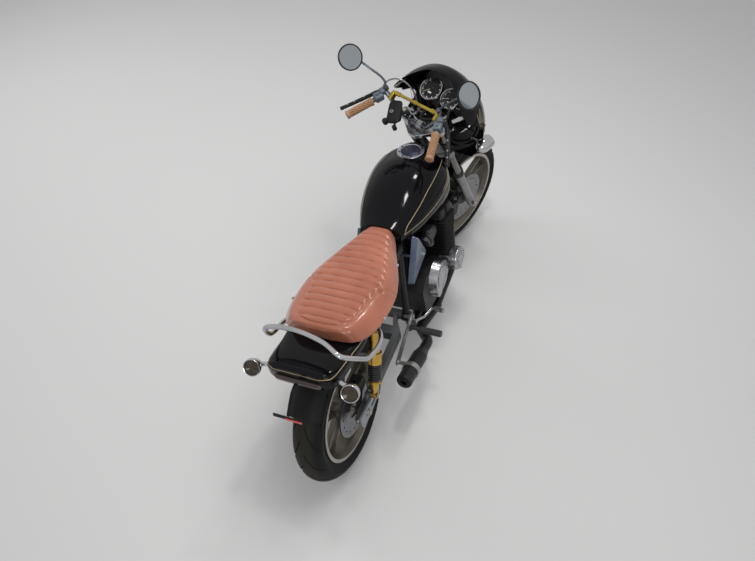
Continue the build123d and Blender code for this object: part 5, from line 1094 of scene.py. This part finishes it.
# Brace: a gold anodised tube between two split clamps on the bar, with a hexagonal collar near each end. It replaces
# the plain brace.
brace_gold = finish("brace_gold", (0.62, 0.46, 0.09), (0.45, 0.32, 0.055), 0.26, metallic=1.0)
BRACE_X, BRACE_HALF, BRACE_UP, BRACE_R = 62.0, 124.0, 1200.0, 7.0
brace = [swept([(BRACE_X, y, BRACE_UP) for y in np.linspace(-BRACE_HALF, BRACE_HALF, 12)], BRACE_R, 20)]
for side in (-1, 1):
    brace.append(cast_block((BRACE_X - 12, side * BRACE_HALF, BRACE_UP - 10), (0, 1, 0), 20, 44, 30, 0.6))
    for y in (104, 92):
        brace.append(drum(-5, 5, 10, (BRACE_X, side * y, BRACE_UP), (0, 1, 0), 6))
brace.append(drum(-9, 9, 9, (BRACE_X, 0, BRACE_UP), (0, 1, 0), 6))
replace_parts(skin("brace_tube", brace, ON_FORK, brace_gold, smooth=50), "brace_bar")

# Phone holder: a black body with a round lock button, on a ball arm from the bar, and rubber knobs on its corners. It
# replaces the plain holder.
HOLDER_TOP = 1196.0
holder = [
    cast_block((-14, 66, HOLDER_TOP - 8), (1, 0.5, 0), 112, 62, 17, 0.75),
    cast_block((-20, 60, HOLDER_TOP - 20), (1, 0.55, 0), 70, 60, 14),
    swept([(-30, 58, HOLDER_TOP - 14), (26, 86, 1172), (30, 104, 1150)], 9.0, 16),
]
for x, y, r in ((-70, 77, 13), (-76, 19, 10), (10, 10, 11)):  # place and radius of a knob
    holder.append(swept([(-20, 60, HOLDER_TOP - 14), (x, y, HOLDER_TOP - 12)], 5.5, 12))
    knob = [(-20, 0), (-20, r - 2), (-17, r), (2, r), (5, r - 2), (5, 0)]
    holder.append(spun(knob, (x, y, HOLDER_TOP - 4), UP, 28))
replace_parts(skin("holder_body", holder, ON_FORK, inner_plastic, smooth=50), "phone_holder")
button = [(0, 4.5), (0, 8.5), (3, 8), (3, 4.5)]
skin("holder_button", spun(button, (-20, 74, HOLDER_TOP), UP, 32), ON_FORK, plated, loop=True)

# Brake and clutch hoses: thin bright hoses that arch forward from the bar's ends and drop to the lower yoke. They
# replace the plain ones.
HOSE = [
    (34, 178, 1206), (84, 178, 1222), (118, 140, 1222), (128, 96, 1200), (120, 62, 1146), (108, 58, 1076),
    (106, 64, 1004), (94, 58, 934), (66, 60, 900),
]
hose_steel = finish("hose_steel", (0.34, 0.34, 0.34), (0.24, 0.24, 0.24), 0.3, metallic=1.0)
left_hose = skin("left_hose", swept(eased(HOSE), 3.6, 12), ON_FORK, hose_steel, smooth=60)
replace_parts(left_hose, "brake_hose")
skin("right_hose", swept(eased(np.array(HOSE) * (1, -1, 1)), 4.2, 12), ON_FORK, lever_black, smooth=60)

# Clocks: two instruments in black cups with bright bezels, white marks and a needle, on bent stalks, and a small box
# of warning lamps beside them. They replace the plain cluster.
CLOCK_TILT = math.radians(35)
CLOCK_UP = np.array([-math.sin(CLOCK_TILT), 0.0, math.cos(CLOCK_TILT)])
CLOCK_AHEAD = np.array([math.cos(CLOCK_TILT), 0.0, math.sin(CLOCK_TILT)])
CLOCKS = (
    # centre of the face, radius, turn of the needle from straight ahead
    ((1224.0, 21.0, 1094.0), 53.0, 2.3),
    ((1222.0, -88.0, 1090.0), 47.0, 1.9),
)
DIAL_FROM, DIAL_SWEEP, DIAL_STEPS = 40.0, 280.0, 32
LAMP_BOX = np.array([1216.0, -148.0, 1058.0])
dial_black = finish("dial_black", (0.008, 0.008, 0.009), (0.005, 0.005, 0.006), 0.3, shine=0.3)
dial_white = finish("dial_white", (0.6, 0.6, 0.58), (0.5, 0.5, 0.48), 0.5)
needle_pale = finish("needle_pale", (0.5, 0.4, 0.3), (0.4, 0.32, 0.24), 0.4)
cups, bezels, faces, dial_marks, needles = [], [], [], [], []


def dial_bar(centre, angle, near, far, wide, low, high):
    """A small bar on a clock's face along a spoke: centre + distance × spoke ± half width × square, at two heights."""
    spoke = math.cos(angle) * CLOCK_AHEAD + math.sin(angle) * np.array([0.0, 1.0, 0.0])
    square = np.cross(CLOCK_UP, spoke)
    ring = np.array([spoke * d + square * w for d, w in ((near, -wide), (far, -wide), (far, wide), (near, wide))])
    return np.stack([centre + ring + CLOCK_UP * low, centre + ring + CLOCK_UP * high])


for centre, r, needle_angle in CLOCKS:
    centre = np.array(centre)
    cups.append(spun([(-58, 0), (-58, r * 0.5), (-50, r * 0.72), (-20, r - 2), (0, r), (0, 0)], centre, CLOCK_UP, 64))
    bezel = [(-3, r + 0.8), (6, r + 0.8), (8, r - 0.6), (8, r - 3), (4, r - 4.2), (-3, r - 4.2)]
    bezels.append(spun(bezel, centre, CLOCK_UP, 72))
    faces.append(
        spun([(-1, 0), (-1, r - 3.5), (1.0, r - 3.5), (1.4, r - 6), (1.0, r * 0.6), (1.0, 0)], centre, CLOCK_UP, 72)
    )
    for step in range(DIAL_STEPS + 1):
        angle = math.radians(DIAL_FROM + step * DIAL_SWEEP / DIAL_STEPS)
        long, wide = (15, 1.3) if step % 4 == 0 else (10, 0.5)
        dial_marks.append(dial_bar(centre, angle, r - long, r - 6.5, wide, 0.8, 1.8))
    dial_marks.append(dial_bar(centre, math.pi, 14, 21, 9.0, 0.8, 1.7))
    needles.append(dial_bar(centre, needle_angle, -9, r - 14, 0.9, 3.0, 4.0))
    cups.append(spun([(1, 0), (1, 6), (5, 5.4), (5, 0)], centre, CLOCK_UP, 24))
    stalk = [(1118, 0, 1000), (1150, centre[1] * 0.6, 1000), (1225, centre[1], 1024), centre - CLOCK_UP * 50]
    cups.append(swept(eased(stalk), 9.0, 16))
cups.append(cast_block(LAMP_BOX, (0, 1, 0), 44, 40, 34, 0.6))
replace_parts(skin("clock_cups", cups, WITH_BARS, inner_plastic, smooth=50), "instruments")
skin("clock_bezels", bezels, WITH_BARS, chrome, loop=True)
skin("clock_faces", faces, WITH_BARS, dial_black)
skin("clock_marks", dial_marks, WITH_BARS, dial_white)
skin("clock_needles", needles, WITH_BARS, needle_pale)
warning_dome = [(14, 0), (14, 4.5), (19, 4), (20.5, 2), (20.8, 0)]
for name, y, tint in (
    ("pale_lamp", -138, (0.6, 0.55, 0.7)), ("pink_lamp", -149, (0.7, 0.35, 0.55)),
    ("green_lamp", -160, (0.1, 0.3, 0.15)),
):
    glow = finish(name, tint, tint, 0.2, coat=0.5)
    skin(name, spun(warning_dome, (LAMP_BOX[0], y, LAMP_BOX[2]), CLOCK_UP, 20), WITH_BARS, glow)

# Fairing: a round-nosed bikini fairing in gloss black, swept back at its sides to two points below the mirrors, open
# round the headlamp. It replaces the plain fairing.
FAIRING_SHAPE = np.array([
    # x, half width, half height, middle height
    (1120, 232, 236, 926),
    (1160, 237, 243, 926),
    (1210, 239, 250, 926),
    (1270, 234, 256, 924),
    (1330, 213, 240, 920),
    (1375, 176, 196, 904),
    (1396, 134, 140, 882),
    (1404, 97, 97, 872),
])
FAIRING_RIM = np.array([
    # turn from the top in degrees, x of the rear edge
    (0, 1240), (15, 1236), (30, 1206), (42, 1186), (54, 1178), (62, 1186), (69, 1214), (75, 1262), (80, 1318),
    (86, 1342), (94, 1334), (103, 1304),
    (114, 1288), (126, 1294), (140, 1326), (160, 1346), (180, 1346),
], float)


def fairing_points(x, turn, inset):
    """Ellipses across the bike: half width × sine and middle height + half height × cosine of the turn from the top."""
    half, rise, middle = (flowing(x, FAIRING_SHAPE[:, 0], FAIRING_SHAPE[:, k]) for k in (1, 2, 3))
    return np.stack([x, (half - inset) * np.sin(turn), middle + (rise - inset) * np.cos(turn)], -1)


fairing_turn = np.linspace(-np.pi, np.pi, 193)[:-1]
rear_edge = flowing(np.degrees(np.abs(fairing_turn)), FAIRING_RIM[:, 0], FAIRING_RIM[:, 1])
share = np.sin(np.linspace(0, np.pi / 2, 50))[:, None]
NOSE_X, FAIRING_WALL = FAIRING_SHAPE[-1, 0], 4.0
shell_x = rear_edge + share * (NOSE_X - rear_edge)
shell_turn = np.broadcast_to(fairing_turn, shell_x.shape)
inner_shell = fairing_points(shell_x, shell_turn, FAIRING_WALL)[::-1]
shell = np.concatenate([fairing_points(shell_x, shell_turn, 0), inner_shell])
fairing_shell = skin("fairing_shell", shell, WITH_BARS, body_black, loop=True, smooth=50)
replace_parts(fairing_shell, "fairing")
FLANK = [(1300, 226, 1070), (1285, 229, 1035), (1280, 230, 1000), (1290, 228, 960), (1310, 222, 925)]
FLANK_WIDE = 34 * np.sin(np.linspace(0.2, 3.0, 25))
EDGE = [(1262, 222, 1050), (1262, 228, 1015), (1268, 231, 980), (1284, 229, 945), (1306, 222, 915)]
fairing_bands, fairing_lines = [], []
for side in (-1, 1):
    fairing_bands.append(laid_on(fairing_shell, np.multiply(FLANK, (1, side, 1)), FLANK_WIDE, on_the_bars, 0.4))
    fairing_lines.append(laid_on(fairing_shell, np.multiply(EDGE, (1, side, 1)), 3.0, on_the_bars))
skin("fairing_bands", fairing_bands, (as_it_is, "steering"), bronze_band)
skin("fairing_lines", fairing_lines, (as_it_is, "steering"), pinstripe_gold)

# Headlamp glass and front indicator lenses: a clear fluted lens in a chromed rim, inside the nose of the fairing, and
# amber domes.
HEADLAMP_UP, GLASS_FRONT, GLASS_BOW, FLUTE_HIGH = 872.0, 1401.5, 12.0, 0.5
rings_at = (0.01, 12, 24, 36, 48, 60, 72, 80, 84)
glass_r, u = np.meshgrid(rings_at, np.linspace(0, 2 * np.pi, 145)[:-1], indexing="ij")
flutes = FLUTE_HIGH * np.sin(glass_r * np.sin(u) / 1.6) * (glass_r < 79)
bow_x = GLASS_FRONT - GLASS_BOW * (glass_r / 86) ** 2 + flutes
lens_front = np.stack([bow_x, glass_r * np.sin(u), HEADLAMP_UP + glass_r * np.cos(u)], -1)
lamp_glass = finish("lamp_glass", (0.6, 0.62, 0.63), (0.5, 0.52, 0.54), 0.08, metallic=0.7, coat=1.0, bump=0.0)
skin("headlamp_glass", lens_front, WITH_BARS, lamp_glass)
trim = [(0, 83), (6, 86.8), (2, 90), (-12, 90), (-12, 86.2)]
skin("headlamp_rim", spun(trim, (1388, 0, HEADLAMP_UP), (1, 0, 0), 96), WITH_BARS, chrome, loop=True)
FRONT_LENS = (1382.0, 212.0, 826.0)
FRONT_LENS_R = 32.3
front_prism = [(-6, 0), (-6, FRONT_LENS_R)]
front_prism += [(0.5 + 5 * (1 - (r / FRONT_LENS_R) ** 2), r) for r in np.linspace(FRONT_LENS_R, 0, 16)]
front_lenses = [spun(front_prism, np.multiply(FRONT_LENS, (1, way, 1)), (1, 0, 0), 48) for way in (-1, 1)]
amber_lens = finish("amber_lens", (0.45, 0.14, 0.02), (0.36, 0.1, 0.015), 0.14, coat=0.6)
skin("front_lenses", front_lenses, WITH_BARS, amber_lens)
